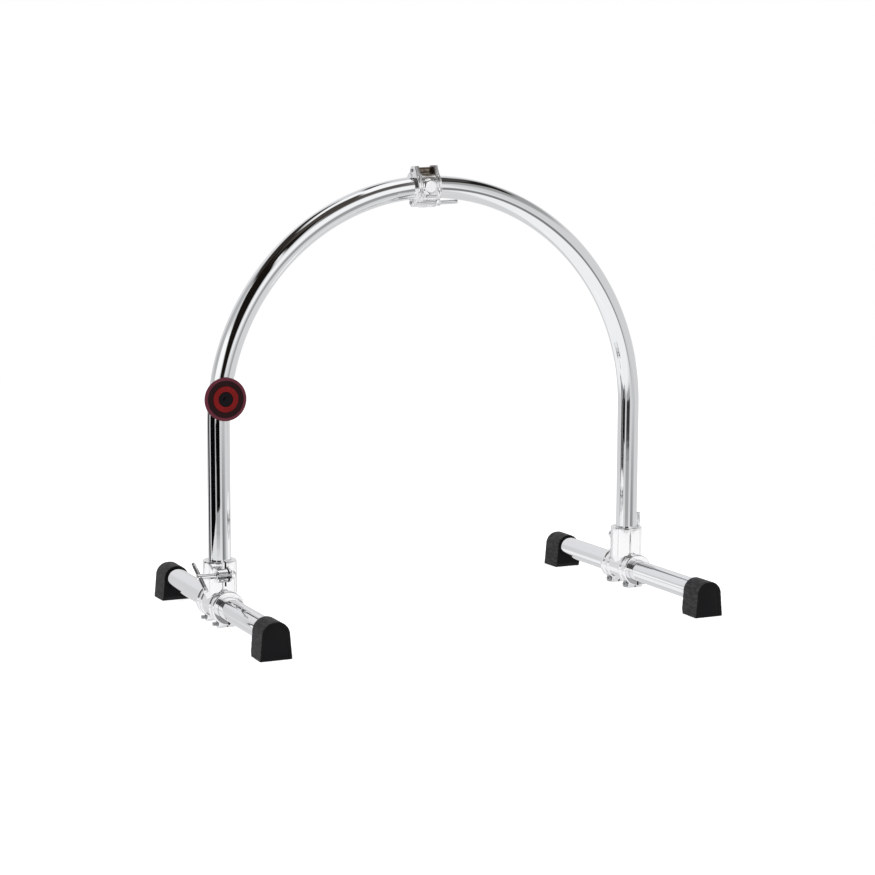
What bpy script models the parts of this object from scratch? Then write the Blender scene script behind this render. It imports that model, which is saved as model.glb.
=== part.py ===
"""Drum docking frame: a chromed tube arch on two base bars with rubber feet.

Each leg stands in a cast T clamp that also holds a base bar. A hinged clamp
rides on the crown of the arch, and a round badge is strapped to the left leg.
Metres, +Z up, front is -Y. The origin is on the ground under the arch's centre.
"""

import math

import bmesh
import bpy
from mathutils import Matrix, Vector

# Fits between pieces
CLEARANCE = 0.0003
SLIT = 0.003

# Chromed tube, shared by the arch and the base bars
TUBE_DIAMETER = 0.0381
TUBE_WALL = 0.002
TUBE_SIDES = 18

# Arch
ARCH_RADIUS = 0.3935
LEG_LENGTH = 0.2727
ARCH_SEGMENTS = 36

# Base bars and feet
BAR_LENGTH = 0.5268
BAR_SHIFT = 0.0085
FOOT_LENGTH = 0.0479
FOOT_SOLE = 0.020
FOOT_WALL = 0.0033
FOOT_END_WALL = 0.008
FOOT_FLARE = 0.0032
FOOT_TAPER = 0.05
FOOT_CHAMFER = 0.004
FOOT_MOUTH_RISE = 0.007
FOOT_PANEL_DEPTH = 0.0008
FOOT_PANEL_EDGE = 0.004
RIB_PITCH = 0.012
RIB_DEPTH = 0.0025

# Leg clamp
SLEEVE_LENGTH = 0.088
SLEEVE_WALL = 0.007
RIM_WIDTH = 0.009
RIM_RISE = 0.002
SOCKET_DEPTH = 0.049
SOCKET_WALL = 0.00915
SOCKET_CHAMFER = 0.0014
SKIRT_DROP = 0.020
SKIRT_TAPER = 0.006
FLOOR_WALL = 0.0073
EAR_OUTER = 0.0183
EAR_INNER = 0.0055
EAR_RADIUS = 0.0115
EAR_ROOT = 0.001
BOLT_BELOW_RIM = 0.0205
SLOT_ABOVE_FLOOR = 0.008
CLAMP_SIDES = 28

# Key bolts under the sleeve
KEY_BOLT_SPREAD = 0.029
KEY_BOLT_RADIUS = 0.003
KEY_BOLT_COVER = 0.0042
KEY_LUG_RADIUS = 0.0075
KEY_LUG_HALF_WIDTH = 0.015
KEY_FLANGE_RADIUS = 0.0045
KEY_FLANGE_THICKNESS = 0.0016
KEY_HEAD_SIZE = 0.0055
KEY_HEAD_LENGTH = 0.0065
KEY_NUT_FLATS = 0.010
KEY_NUT_THICKNESS = 0.005
KEY_TIP = 0.0015

# T-bolts with their sliding bars, washers and nuts
SHANK_RADIUS = 0.0036
BARREL_RADIUS = 0.005
HUB_RADIUS = 0.0056
HUB_HALF_LENGTH = 0.0055
T_BAR_REACH = 0.029
T_BAR_RADIUS = 0.0035
T_BAR_LENGTH = 0.076
WASHER_RADIUS = 0.0075
WASHER_THICKNESS = 0.0012
NUT_FLATS = 0.013
NUT_THICKNESS = 0.0065
BOLT_TIP = 0.003
EDGE_BREAK = 0.0008
ROUND_SIDES = 16

# Hinged clamp on the crown
TOP_OFFSET = 0.019
TOP_LENGTH = 0.044
TOP_BORE_CLEARANCE = 0.0006
TOP_WALL = 0.0067
TOP_RIM_WIDTH = 0.0045
TOP_RIM_RISE = 0.0015
TOP_LUG_DEPTH = 0.0215
TOP_LUG_HALF_WIDTH = 0.013
TOP_LUG_EDGE = 0.0085
TOP_BOLT_COVER = 0.0022
LUG_INSET = 0.001
BOSS_RADIUS = 0.014
BOSS_RISE = 0.003

# Its hinge, above the tube
HINGE_RISE = 0.0011
HINGE_GAP = 0.0004
HINGE_EAR_RADIUS = 0.0074
HORN_REACH = 0.0125
HORN_ROUND = 0.0015
EAR_FOOT = math.radians(30)
KNUCKLE_RADIUS = 0.0048
KNUCKLE_LENGTH = 0.0264
TONGUE_REACH = 0.0196
PIN_RADIUS = 0.0021
PIN_HEAD_RADIUS = 0.0032
PIN_HEAD_THICKNESS = 0.0012

# Its swing bolt, below the tube
PIN_BEHIND = 0.009
PIN_LUG_RADIUS = 0.0075
EYE_RADIUS = 0.006
EYE_HALF_WIDTH = 0.0036
T_NUT_WALL = 0.0015

# Badge on the left leg
BADGE_HEIGHT = 0.3855
BADGE_DIAMETER = 0.072
BADGE_THICKNESS = 0.0035
BADGE_OFFSET = 0.0020
BADGE_EDGE = 0.001
STRAP_WIDTH = 0.026
STRAP_THICKNESS = 0.0022
STRAP_CLEARANCE = 0.0006
RING_OUTER = 0.0215
RING_INNER = 0.0125
RING_DEPTH = 0.0008
RING_PROUD = 0.0003
RIVET_RADIUS = 0.002
RIVET_HEAD_RADIUS = 0.0045
RIVET_HEAD_HEIGHT = 0.0012
BADGE_SIDES = 40

# Turns of the three sliding T-bars about their bolts, as they stand
LEFT_BAR_TURN = math.radians(63)
RIGHT_BAR_TURN = math.radians(0)
TOP_BAR_TURN = math.radians(0)

# Sizes that follow from the ones above
TUBE_RADIUS = TUBE_DIAMETER / 2
BORE_RADIUS = TUBE_RADIUS + CLEARANCE
BAR_HEIGHT = FOOT_SOLE + BORE_RADIUS
SLEEVE_RADIUS = BORE_RADIUS + SLEEVE_WALL
SOCKET_RADIUS = BORE_RADIUS + SOCKET_WALL
SOCKET_FLOOR = BAR_HEIGHT + BORE_RADIUS + FLOOR_WALL
SOCKET_TOP = SOCKET_FLOOR + SOCKET_DEPTH
LEG_FOOT = SOCKET_FLOOR + CLEARANCE
SPRING_LINE = LEG_FOOT + LEG_LENGTH
NUT_RADIUS = NUT_FLATS / math.sqrt(3)
LEG_BOLT_Y = SOCKET_RADIUS + NUT_RADIUS + CLEARANCE
LEG_BOLT_Z = SOCKET_TOP - BOLT_BELOW_RIM
SHANK_HOLE = SHANK_RADIUS + CLEARANCE
KEY_HOLE = KEY_BOLT_RADIUS + CLEARANCE
KEY_BOLT_HEIGHT = BAR_HEIGHT - BORE_RADIUS - KEY_BOLT_COVER - KEY_HOLE
HANDLE_SEAT = WASHER_THICKNESS + 2 * CLEARANCE
T_NUT_BLIND = T_BAR_REACH - T_BAR_RADIUS - T_NUT_WALL
TOP_BORE = TUBE_RADIUS + TOP_BORE_CLEARANCE
TOP_RADIUS = TOP_BORE + TOP_WALL
TOP_RIM_RADIUS = TOP_RADIUS + TOP_RIM_RISE
TOP_BOLT_DROP = TOP_BORE + TOP_BOLT_COVER + SHANK_HOLE
TOP_ANGLE = math.asin(TOP_OFFSET / ARCH_RADIUS)
HINGE_HEIGHT = TOP_RIM_RADIUS + HINGE_RISE
KNUCKLE_HALF = KNUCKLE_LENGTH / 2
EYE_SLOT_RADIUS = EYE_RADIUS + HINGE_GAP
BADGE_ANGLE = math.asin((BADGE_HEIGHT - SPRING_LINE) / ARCH_RADIUS)
STRAP_INNER = TUBE_RADIUS + STRAP_CLEARANCE
STRAP_OUTER = STRAP_INNER + STRAP_THICKNESS

# Maps from a flat outline's plane to the plane it is drawn for
OUTLINE_TO_YZ = Matrix(((0, 0, 1), (1, 0, 0), (0, 1, 0))).to_4x4()
OUTLINE_TO_XZ = Matrix(((1, 0, 0), (0, 0, -1), (0, 1, 0))).to_4x4()

# Turns that point a turned piece's +Z along another axis
ALONG_Y = (math.radians(90), 0, 0)
ALONG_X = (0, math.radians(-90), 0)
ALONG_TUBE = (0, math.radians(90), 0)

# Places on the crown, from the arch's centre
TUBE_PLACE = (0, 0, ARCH_RADIUS)
HINGE_PLACE = (0, 0, ARCH_RADIUS + HINGE_HEIGHT)
SWING_PLACE = (0, PIN_BEHIND, ARCH_RADIUS - TOP_BOLT_DROP)


def clear_scene():
    for obj in list(bpy.data.objects):
        bpy.data.objects.remove(obj, do_unlink=True)


def new_collection(name):
    collection = bpy.data.collections.new(name)
    bpy.context.scene.collection.children.link(collection)
    return collection


def finish(name, colour, roughness, metallic):
    material = bpy.data.materials.new(name)
    material.use_nodes = True
    shader = material.node_tree.nodes["Principled BSDF"]
    shader.inputs["Base Color"].default_value = (*colour, 1.0)
    shader.inputs["Roughness"].default_value = roughness
    shader.inputs["Metallic"].default_value = metallic
    return material


def axis_empty(name, parent=None, location=(0, 0, 0), rotation=(0, 0, 0)):
    empty = bpy.data.objects.new(name, None)
    PARTS.objects.link(empty)
    empty.parent = parent
    empty.location = location
    empty.rotation_euler = rotation
    return empty


def piece(name, mesh, material, parent=None, location=(0, 0, 0), rotation=(0, 0, 0)):
    """Add a sub-part of the frame in its own material."""
    obj = bpy.data.objects.new(name, mesh)
    PARTS.objects.link(obj)
    mesh.materials.append(material)
    obj.parent = parent
    obj.location = location
    obj.rotation_euler = rotation
    mesh.shade_smooth()
    mesh.set_sharp_from_angle(angle=math.radians(35))
    return obj


def guide(name, mesh, parent=None, location=(0, 0, 0), rotation=(0, 0, 0)):
    """Add a shape that only cuts or joins others."""
    obj = bpy.data.objects.new(name, mesh)
    CUTTERS.objects.link(obj)
    obj.parent = parent
    obj.location = location
    obj.rotation_euler = rotation
    obj.hide_render = True
    obj.display_type = "WIRE"
    return obj


def combine(obj, other, operation):
    modifier = obj.modifiers.new(other.name, "BOOLEAN")
    modifier.operation = operation
    modifier.solver = "EXACT"
    modifier.object = other


def cut(obj, *others):
    for other in others:
        combine(obj, other, "DIFFERENCE")


def join(obj, *others):
    for other in others:
        combine(obj, other, "UNION")


def mesh_from(name, bm):
    mesh = bpy.data.meshes.new(name)
    bm.to_mesh(mesh)
    bm.free()
    return mesh


def box_mesh(name, low, high):
    low, high = Vector(low), Vector(high)
    bm = bmesh.new()
    bmesh.ops.create_cube(bm, size=1)
    bmesh.ops.scale(bm, vec=high - low, verts=bm.verts)
    bmesh.ops.translate(bm, vec=(high + low) / 2, verts=bm.verts)
    return mesh_from(name, bm)


def rod_mesh(name, radius, start, end, sides=CLAMP_SIDES):
    """Round rod along Z from start to end."""
    bm = bmesh.new()
    bmesh.ops.create_cone(
        bm, cap_ends=True, segments=sides, radius1=radius, radius2=radius, depth=end - start
    )
    bmesh.ops.translate(bm, vec=(0, 0, (start + end) / 2), verts=bm.verts)
    return mesh_from(name, bm)


def hex_mesh(name, flats, start, end):
    return rod_mesh(name, flats / math.sqrt(3), start, end, sides=6)


def profile_mesh(name, profile, closed=False):
    """Outline of a turned shape as (radius, height), its outer side running down."""
    points = [(radius, 0, height) for radius, height in profile]
    edges = [(i, i + 1) for i in range(len(points) - 1)]
    if closed:
        edges.append((len(points) - 1, 0))
    mesh = bpy.data.meshes.new(name)
    mesh.from_pydata(points, edges, [])
    return mesh


def turn(obj, sides):
    """Spin an outline about its own Z axis into a solid."""
    screw = obj.modifiers.new("Turned", "SCREW")
    screw.steps = sides
    screw.render_steps = sides
    screw.use_merge_vertices = True
    screw.merge_threshold = 0.00001
    return obj


def curve_mesh(name, curve, matrix=None):
    """Take a curve's solid as a mesh, with its caps welded to its sides."""
    obj = bpy.data.objects.new(name, curve)
    bpy.context.scene.collection.objects.link(obj)
    bpy.context.view_layer.update()
    evaluated = obj.evaluated_get(bpy.context.evaluated_depsgraph_get())
    mesh = bpy.data.meshes.new_from_object(evaluated)
    bpy.data.objects.remove(obj, do_unlink=True)
    bpy.data.curves.remove(curve)
    bm = bmesh.new()
    bm.from_mesh(mesh)
    bmesh.ops.remove_doubles(bm, verts=bm.verts, dist=0.000001)
    bmesh.ops.recalc_face_normals(bm, faces=bm.faces)
    bm.to_mesh(mesh)
    bm.free()
    mesh.name = name
    if matrix:
        mesh.transform(matrix)
    return mesh


def plate_mesh(name, outline, start, end, matrix):
    """Flat outline made into a plate, then laid in the plane the matrix gives."""
    curve = bpy.data.curves.new(name, "CURVE")
    curve.dimensions = "2D"
    curve.fill_mode = "BOTH"
    curve.extrude = (end - start) / 2
    spline = curve.splines.new("POLY")
    spline.points.add(len(outline) - 1)
    for point, (across, up) in zip(spline.points, outline):
        point.co = (across, up, 0, 1)
    spline.use_cyclic_u = True
    lift = Matrix.Translation((0, 0, (start + end) / 2))
    return curve_mesh(name, curve, matrix @ lift)


def pipe_mesh(name, path, radius, capped):
    """Round tube surface along a path of points."""
    curve = bpy.data.curves.new(name, "CURVE")
    curve.dimensions = "3D"
    curve.bevel_depth = radius
    curve.bevel_resolution = (TUBE_SIDES - 4) // 2
    curve.use_fill_caps = capped
    spline = curve.splines.new("POLY")
    spline.points.add(len(path) - 1)
    for point, place in zip(spline.points, path):
        point.co = (*place, 1)
    return curve_mesh(name, curve)


def tube_wall(obj):
    """Give a tube surface its wall, inwards, with open ends."""
    wall = obj.modifiers.new("Wall", "SOLIDIFY")
    wall.thickness = TUBE_WALL
    wall.offset = -1
    wall.use_even_offset = True
    wall.use_rim = True
    return obj


def arc_points(centre, radius, start, end, steps):
    """Points on an arc, angles in degrees."""
    across, up = centre
    turns = [math.radians(start + (end - start) * i / steps) for i in range(steps + 1)]
    return [(across + radius * math.cos(t), up + radius * math.sin(t)) for t in turns]


def arch_path():
    path = [(-ARCH_RADIUS, 0, LEG_FOOT)]
    for across, up in arc_points((0, SPRING_LINE), ARCH_RADIUS, 180, 0, ARCH_SEGMENTS):
        path.append((across, 0, up))
    path.append((ARCH_RADIUS, 0, LEG_FOOT))
    return path


def make_arch():
    surface = pipe_mesh("arch_tube", arch_path(), TUBE_RADIUS, capped=False)
    return tube_wall(piece("arch_tube", surface, CHROME))


def foot_outline(scale=1.0, inset=0.0):
    """D-shaped end view of a foot about the bar's axis: round top, flared sides."""
    top = BORE_RADIUS + FOOT_WALL - inset
    side = (BORE_RADIUS + FOOT_WALL + FOOT_FLARE) * scale - inset
    outline = arc_points((0, 0), top, 0, 180, 14)
    outline.append((-side, -BAR_HEIGHT + inset))
    outline.append((side, -BAR_HEIGHT + inset))
    return outline


def foot_side_outline():
    """Side view of a foot: ribbed sole, raised mouth edge, broken outer edges."""
    top = BORE_RADIUS + FOOT_WALL + FOOT_CHAMFER
    ribs = []
    along = RIB_PITCH
    while along < FOOT_LENGTH - RIB_PITCH / 2:
        ribs.append((along - RIB_DEPTH, -BAR_HEIGHT))
        ribs.append((along, -BAR_HEIGHT + RIB_DEPTH))
        ribs.append((along + RIB_DEPTH, -BAR_HEIGHT))
        along += RIB_PITCH
    outline = [(0, -BAR_HEIGHT + FOOT_MOUTH_RISE)]
    outline.append((FOOT_CHAMFER, -BAR_HEIGHT))
    outline += ribs
    outline.append((FOOT_LENGTH - FOOT_CHAMFER / 2, -BAR_HEIGHT))
    outline.append((FOOT_LENGTH, -BAR_HEIGHT + FOOT_CHAMFER / 2))
    outline.append((FOOT_LENGTH, BORE_RADIUS + FOOT_WALL - FOOT_CHAMFER / 2))
    outline.append((FOOT_LENGTH - FOOT_CHAMFER, top))
    outline.append((0, top))
    return outline


def make_foot(name, base, mouth_y, facing):
    """Foot with its mouth at mouth_y, reaching outwards along facing (-1 front, +1 rear)."""
    turned = 0 if facing < 0 else math.pi
    axis = axis_empty(name + "_axis", base, (0, mouth_y, BAR_HEIGHT), (0, 0, turned))
    body = plate_mesh(name, foot_outline(), 0, FOOT_LENGTH, OUTLINE_TO_XZ)
    for vertex in body.vertices:
        vertex.co.x *= 1 + FOOT_TAPER * (-vertex.co.y / FOOT_LENGTH)
    foot = piece(name, body, RUBBER, axis)
    half = BORE_RADIUS + FOOT_WALL + FOOT_FLARE + FOOT_CHAMFER
    side = plate_mesh(name + "_side", foot_side_outline(), -half, half, OUTLINE_TO_YZ)
    side.transform(Matrix.Rotation(math.pi, 4, "Z"))
    combine(foot, guide(name + "_side", side, axis), "INTERSECT")
    bore = rod_mesh(name + "_bore", BORE_RADIUS, -FOOT_END_WALL, FOOT_LENGTH - FOOT_END_WALL)
    panel = plate_mesh(
        name + "_panel",
        foot_outline(1.0, FOOT_PANEL_EDGE),
        FOOT_LENGTH - FOOT_PANEL_DEPTH,
        FOOT_LENGTH + FOOT_PANEL_EDGE,
        OUTLINE_TO_XZ,
    )
    cut(foot, guide(name + "_bore", bore, axis, rotation=ALONG_Y))
    cut(foot, guide(name + "_panel", panel, axis))


def make_base_bar(name, base):
    half = BAR_LENGTH / 2
    surface = pipe_mesh(name, [(0, -half, 0), (0, half, 0)], TUBE_RADIUS, capped=False)
    tube_wall(piece(name, surface, CHROME, base, (0, BAR_SHIFT, BAR_HEIGHT)))


def sleeve_profile():
    half = SLEEVE_LENGTH / 2
    rim = SLEEVE_RADIUS + RIM_RISE
    upper = [(0, half), (rim - EDGE_BREAK, half), (rim, half - EDGE_BREAK)]
    upper += [(rim, half - RIM_WIDTH), (SLEEVE_RADIUS, half - RIM_WIDTH - RIM_RISE)]
    return upper + [(radius, -height) for radius, height in reversed(upper)]


def socket_profile():
    skirt = SOCKET_FLOOR - SKIRT_DROP
    return [
        (0, SOCKET_FLOOR),
        (BORE_RADIUS, SOCKET_FLOOR),
        (BORE_RADIUS, SOCKET_TOP),
        (SOCKET_RADIUS - SOCKET_CHAMFER, SOCKET_TOP),
        (SOCKET_RADIUS, SOCKET_TOP - SOCKET_CHAMFER),
        (SOCKET_RADIUS, SOCKET_FLOOR - SKIRT_TAPER),
        (SOCKET_RADIUS - SKIRT_TAPER, skirt),
        (0, skirt),
    ]


def nose_outline(centre, radius, root, start, end, steps=10):
    """Lug outline: a round nose about centre and straight sides back to the root."""
    nose = arc_points(centre, radius, start, end, steps)
    away = math.radians((start + end) / 2 + 180)
    back = Vector((math.cos(away), math.sin(away))) * root
    first = (nose[0][0] + back.x, nose[0][1] + back.y)
    last = (nose[-1][0] + back.x, nose[-1][1] + back.y)
    return [first] + nose + [last]


def make_leg_clamp(name, base):
    bar_place = (0, 0, BAR_HEIGHT)
    sleeve = profile_mesh(name, sleeve_profile())
    clamp = piece(name, sleeve, CAST_CHROME, base, bar_place, ALONG_Y)
    turn(clamp, CLAMP_SIDES)

    socket = turn(guide(name + "_socket", profile_mesh("socket", socket_profile()), base), CLAMP_SIDES)
    root = LEG_BOLT_Y - BORE_RADIUS - EAR_ROOT
    ears = nose_outline((-LEG_BOLT_Y, LEG_BOLT_Z), EAR_RADIUS, root, 90, 270)
    ears = plate_mesh(name + "_ears", ears, -EAR_OUTER, EAR_INNER, OUTLINE_TO_YZ)
    join(clamp, socket, guide(name + "_ears", ears, base))
    for place, y in (("front", -KEY_BOLT_SPREAD), ("rear", KEY_BOLT_SPREAD)):
        lug = nose_outline((y, KEY_BOLT_HEIGHT), KEY_LUG_RADIUS, KEY_LUG_RADIUS, 180, 360)
        lug = plate_mesh("lug", lug, -KEY_LUG_HALF_WIDTH, KEY_LUG_HALF_WIDTH, OUTLINE_TO_YZ)
        join(clamp, guide(f"{name}_{place}_lug", lug, base))

    past = SLEEVE_LENGTH
    bore = rod_mesh("bar bore", BORE_RADIUS, -past, past)
    cut(clamp, guide(name + "_bar_bore", bore, base, bar_place, ALONG_Y))
    slit = box_mesh("slit", (-SLIT / 2, -past, -BAR_HEIGHT), (SLIT / 2, past, BAR_HEIGHT))
    cut(clamp, guide(name + "_slit", slit, base))
    low = (-SLIT / 2, -LEG_BOLT_Y - EAR_RADIUS * 2, SOCKET_FLOOR + SLOT_ABOVE_FLOOR)
    slot = box_mesh("slot", low, (SLIT / 2, 0, SOCKET_TOP + SOCKET_DEPTH))
    cut(clamp, guide(name + "_slot", slot, base))

    fork = nose_outline((-LEG_BOLT_Y, LEG_BOLT_Z), SHANK_HOLE, EAR_RADIUS * 2, -90, 90, 6)
    fork = plate_mesh("fork", fork, -EAR_OUTER * 2, EAR_OUTER * 2, OUTLINE_TO_YZ)
    cut(clamp, guide(name + "_fork", fork, base))
    for place, y in (("front", -KEY_BOLT_SPREAD), ("rear", KEY_BOLT_SPREAD)):
        reach = KEY_LUG_HALF_WIDTH * 2
        hole = rod_mesh("hole", KEY_HOLE, -reach, reach, ROUND_SIDES)
        hole.transform(Matrix.Rotation(math.pi / ROUND_SIDES, 4, "Z"))
        cut(clamp, guide(f"{name}_{place}_hole", hole, base, (0, y, KEY_BOLT_HEIGHT), ALONG_X))


def key_bolt_profile():
    seat = KEY_LUG_HALF_WIDTH + CLEARANCE
    tip = -(seat + KEY_NUT_THICKNESS + KEY_TIP)
    return [
        (0, seat + KEY_FLANGE_THICKNESS),
        (KEY_FLANGE_RADIUS, seat + KEY_FLANGE_THICKNESS),
        (KEY_FLANGE_RADIUS, seat),
        (KEY_BOLT_RADIUS, seat),
        (KEY_BOLT_RADIUS, tip + EDGE_BREAK),
        (KEY_BOLT_RADIUS - EDGE_BREAK, tip),
        (0, tip),
    ]


def make_key_bolt(name, base, y):
    """Square-headed bolt through a pair of sleeve lugs, with its nut inboard."""
    seat = KEY_LUG_HALF_WIDTH + CLEARANCE
    place = (0, y, KEY_BOLT_HEIGHT)
    bolt = piece(name + "_bolt", profile_mesh("bolt", key_bolt_profile()), STEEL, base, place, ALONG_X)
    turn(bolt, ROUND_SIDES)
    half = KEY_HEAD_SIZE / 2
    top = seat + KEY_FLANGE_THICKNESS + KEY_HEAD_LENGTH
    head = box_mesh("head", (-half, -half, seat + KEY_FLANGE_THICKNESS / 2), (half, half, top))
    join(bolt, guide(name + "_head", head, base, place, ALONG_X))
    nut = hex_mesh("nut", KEY_NUT_FLATS, -seat - KEY_NUT_THICKNESS, -seat)
    nut = piece(name + "_nut", nut, STEEL, base, place, ALONG_X)
    hole = rod_mesh("hole", KEY_HOLE, -seat * 2, seat, ROUND_SIDES)
    cut(nut, guide(name + "_nut_hole", hole, base, place, ALONG_X))


def handle_profile():
    """Hub and barrel of a T-bolt or T-nut, measured outwards from the lug's face."""
    outer = T_BAR_REACH + HUB_HALF_LENGTH
    inner = T_BAR_REACH - HUB_HALF_LENGTH
    return [
        (0, outer),
        (HUB_RADIUS - 2 * EDGE_BREAK, outer),
        (HUB_RADIUS, outer - 2 * EDGE_BREAK),
        (HUB_RADIUS, inner),
        (BARREL_RADIUS, inner - EDGE_BREAK),
        (BARREL_RADIUS, HANDLE_SEAT),
    ]


def t_bolt_profile(grip):
    """Handle with a threaded shank that reaches through the lugs and the nut."""
    tip = -(grip + CLEARANCE + NUT_THICKNESS + BOLT_TIP)
    shank = [(SHANK_RADIUS, HANDLE_SEAT), (SHANK_RADIUS, tip + EDGE_BREAK)]
    return handle_profile() + shank + [(SHANK_RADIUS - EDGE_BREAK, tip), (0, tip)]


def t_nut_profile():
    """Handle with a blind bore for the swing bolt."""
    return handle_profile() + [(SHANK_HOLE, HANDLE_SEAT), (SHANK_HOLE, T_NUT_BLIND), (0, T_NUT_BLIND)]


def t_bar_profile():
    """Round bar with domed ends."""
    straight = T_BAR_LENGTH / 2 - T_BAR_RADIUS
    upper = [(r, h) for r, h in arc_points((0, straight), T_BAR_RADIUS, 90, 0, 4)]
    upper[0] = (0, straight + T_BAR_RADIUS)
    return upper + [(radius, -height) for radius, height in reversed(upper)]


def add_t_bar(name, handle, axis, bar_turn):
    """Sliding bar through the hub of a T-bolt or T-nut."""
    place = (0, 0, T_BAR_REACH)
    cross = (0, math.radians(90), bar_turn)
    reach = HUB_RADIUS * 2
    hole = rod_mesh("hole", T_BAR_RADIUS + CLEARANCE, -reach, reach, ROUND_SIDES)
    cut(handle, guide(name + "_cross_hole", hole, axis, place, cross))
    bar = piece(name + "_bar", profile_mesh("bar", t_bar_profile()), CHROME, axis, place, cross)
    turn(bar, ROUND_SIDES)


def add_washer(name, axis):
    washer = rod_mesh("washer", WASHER_RADIUS, CLEARANCE, CLEARANCE + WASHER_THICKNESS, 24)
    hole = rod_mesh("hole", SHANK_HOLE, -WASHER_RADIUS, WASHER_RADIUS, ROUND_SIDES)
    washer = piece(name + "_washer", washer, CHROME, axis)
    cut(washer, guide(name + "_washer_hole", hole, axis))


def make_t_bolt(name, parent, location, rotation, grip, bar_turn):
    """T-bolt set on a lug face: bolt, sliding bar, washer and nut, about one axis."""
    axis = axis_empty(name + "_axis", parent, location, rotation)
    bolt = piece(name + "_bolt", profile_mesh("bolt", t_bolt_profile(grip)), CHROME, axis)
    turn(bolt, ROUND_SIDES)
    add_t_bar(name, bolt, axis, bar_turn)
    add_washer(name, axis)
    seat = -(grip + CLEARANCE)
    nut = hex_mesh("nut", NUT_FLATS, seat - NUT_THICKNESS, seat)
    nut.transform(Matrix.Rotation(math.radians(30), 4, "Z"))
    hole = rod_mesh("hole", SHANK_HOLE, seat - NUT_THICKNESS * 2, seat + NUT_THICKNESS, ROUND_SIDES)
    cut(piece(name + "_nut", nut, STEEL, axis), guide(name + "_nut_hole", hole, axis))


def make_base(side, x, turned, bar_turn):
    """Leg clamp, base bar and two feet on one side; the right side is the left turned round."""
    base = axis_empty(side + "_leg_axis", None, (x, 0, 0), (0, 0, turned))
    ends = ("front", "rear") if turned == 0 else ("rear", "front")
    make_leg_clamp(side + "_leg_clamp", base)
    for end, y in zip(ends, (-KEY_BOLT_SPREAD, KEY_BOLT_SPREAD)):
        make_key_bolt(f"{side}_{end}_key", base, y)
    place = (-EAR_OUTER, -LEG_BOLT_Y, LEG_BOLT_Z)
    make_t_bolt(side + "_leg_t", base, place, ALONG_X, EAR_OUTER + EAR_INNER, bar_turn)
    make_base_bar(side + "_base_bar", base)
    reach = BAR_LENGTH / 2 + CLEARANCE + FOOT_END_WALL - FOOT_LENGTH
    for end, facing in zip(ends, (-1, 1)):
        make_foot(f"{side}_{end}_foot", base, BAR_SHIFT + facing * reach, facing)


def ring_profile():
    half = TOP_LENGTH / 2
    upper = [(0, half), (TOP_RIM_RADIUS - EDGE_BREAK, half), (TOP_RIM_RADIUS, half - EDGE_BREAK)]
    upper += [(TOP_RIM_RADIUS, half - TOP_RIM_WIDTH), (TOP_RADIUS, half - TOP_RIM_WIDTH - TOP_RIM_RISE)]
    return upper + [(radius, -height) for radius, height in reversed(upper)]


def make_ring(name, crown):
    """Solid turned body of a jaw, about the tube, before it is halved and bored."""
    ring = piece(name, profile_mesh(name, ring_profile()), CAST_CHROME, crown, TUBE_PLACE, ALONG_TUBE)
    return turn(ring, CLAMP_SIDES)


def half_mesh(low_y, high_y):
    wide = TOP_RADIUS * 2
    return box_mesh("half", (-wide, low_y, -wide), (wide, high_y, wide))


def front_lug_outline():
    """Side view of the front jaw's bolt lug, in Y and Z, with a round lower corner."""
    inside = -TOP_BORE * 0.5
    corner = (-TOP_LUG_DEPTH + TOP_LUG_EDGE, -TOP_BOLT_DROP)
    outline = [(-SLIT / 2, inside), (-TOP_LUG_DEPTH * 0.8, inside)]
    outline.append((-TOP_LUG_DEPTH, -TOP_BOLT_DROP + WASHER_RADIUS))
    outline += arc_points(corner, TOP_LUG_EDGE, 180, 270, 6)
    outline.append((-SLIT / 2, -TOP_BOLT_DROP - TOP_LUG_EDGE))
    return outline


def hinge_ear_outline():
    """Side view of a hinge ear on the front jaw: round behind the pin, a horn in front."""
    outline = arc_points((0, HINGE_HEIGHT), HINGE_EAR_RADIUS, -90, 90, 8)
    horn = (-HORN_REACH + HORN_ROUND, HINGE_HEIGHT + HINGE_EAR_RADIUS - HORN_ROUND)
    outline += arc_points(horn, HORN_ROUND, 90, 155, 3)
    outline.append((-TOP_RADIUS * math.cos(EAR_FOOT), TOP_RADIUS * math.sin(EAR_FOOT)))
    outline.append((0, TOP_RADIUS * math.sin(EAR_FOOT)))
    return outline


def eye_slot_outline():
    """Room for the swing bolt's eye, open below and in front."""
    far = TOP_RADIUS * 2
    top = math.degrees(math.asin((SHANK_HOLE + CLEARANCE) / EYE_SLOT_RADIUS))
    outline = [(far, -far), (far, -TOP_BOLT_DROP)]
    outline += arc_points((PIN_BEHIND, -TOP_BOLT_DROP), EYE_SLOT_RADIUS, 0, 180 - top, 10)
    return outline + [(-far, -TOP_BOLT_DROP + SHANK_HOLE + CLEARANCE), (-far, -far)]


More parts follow.
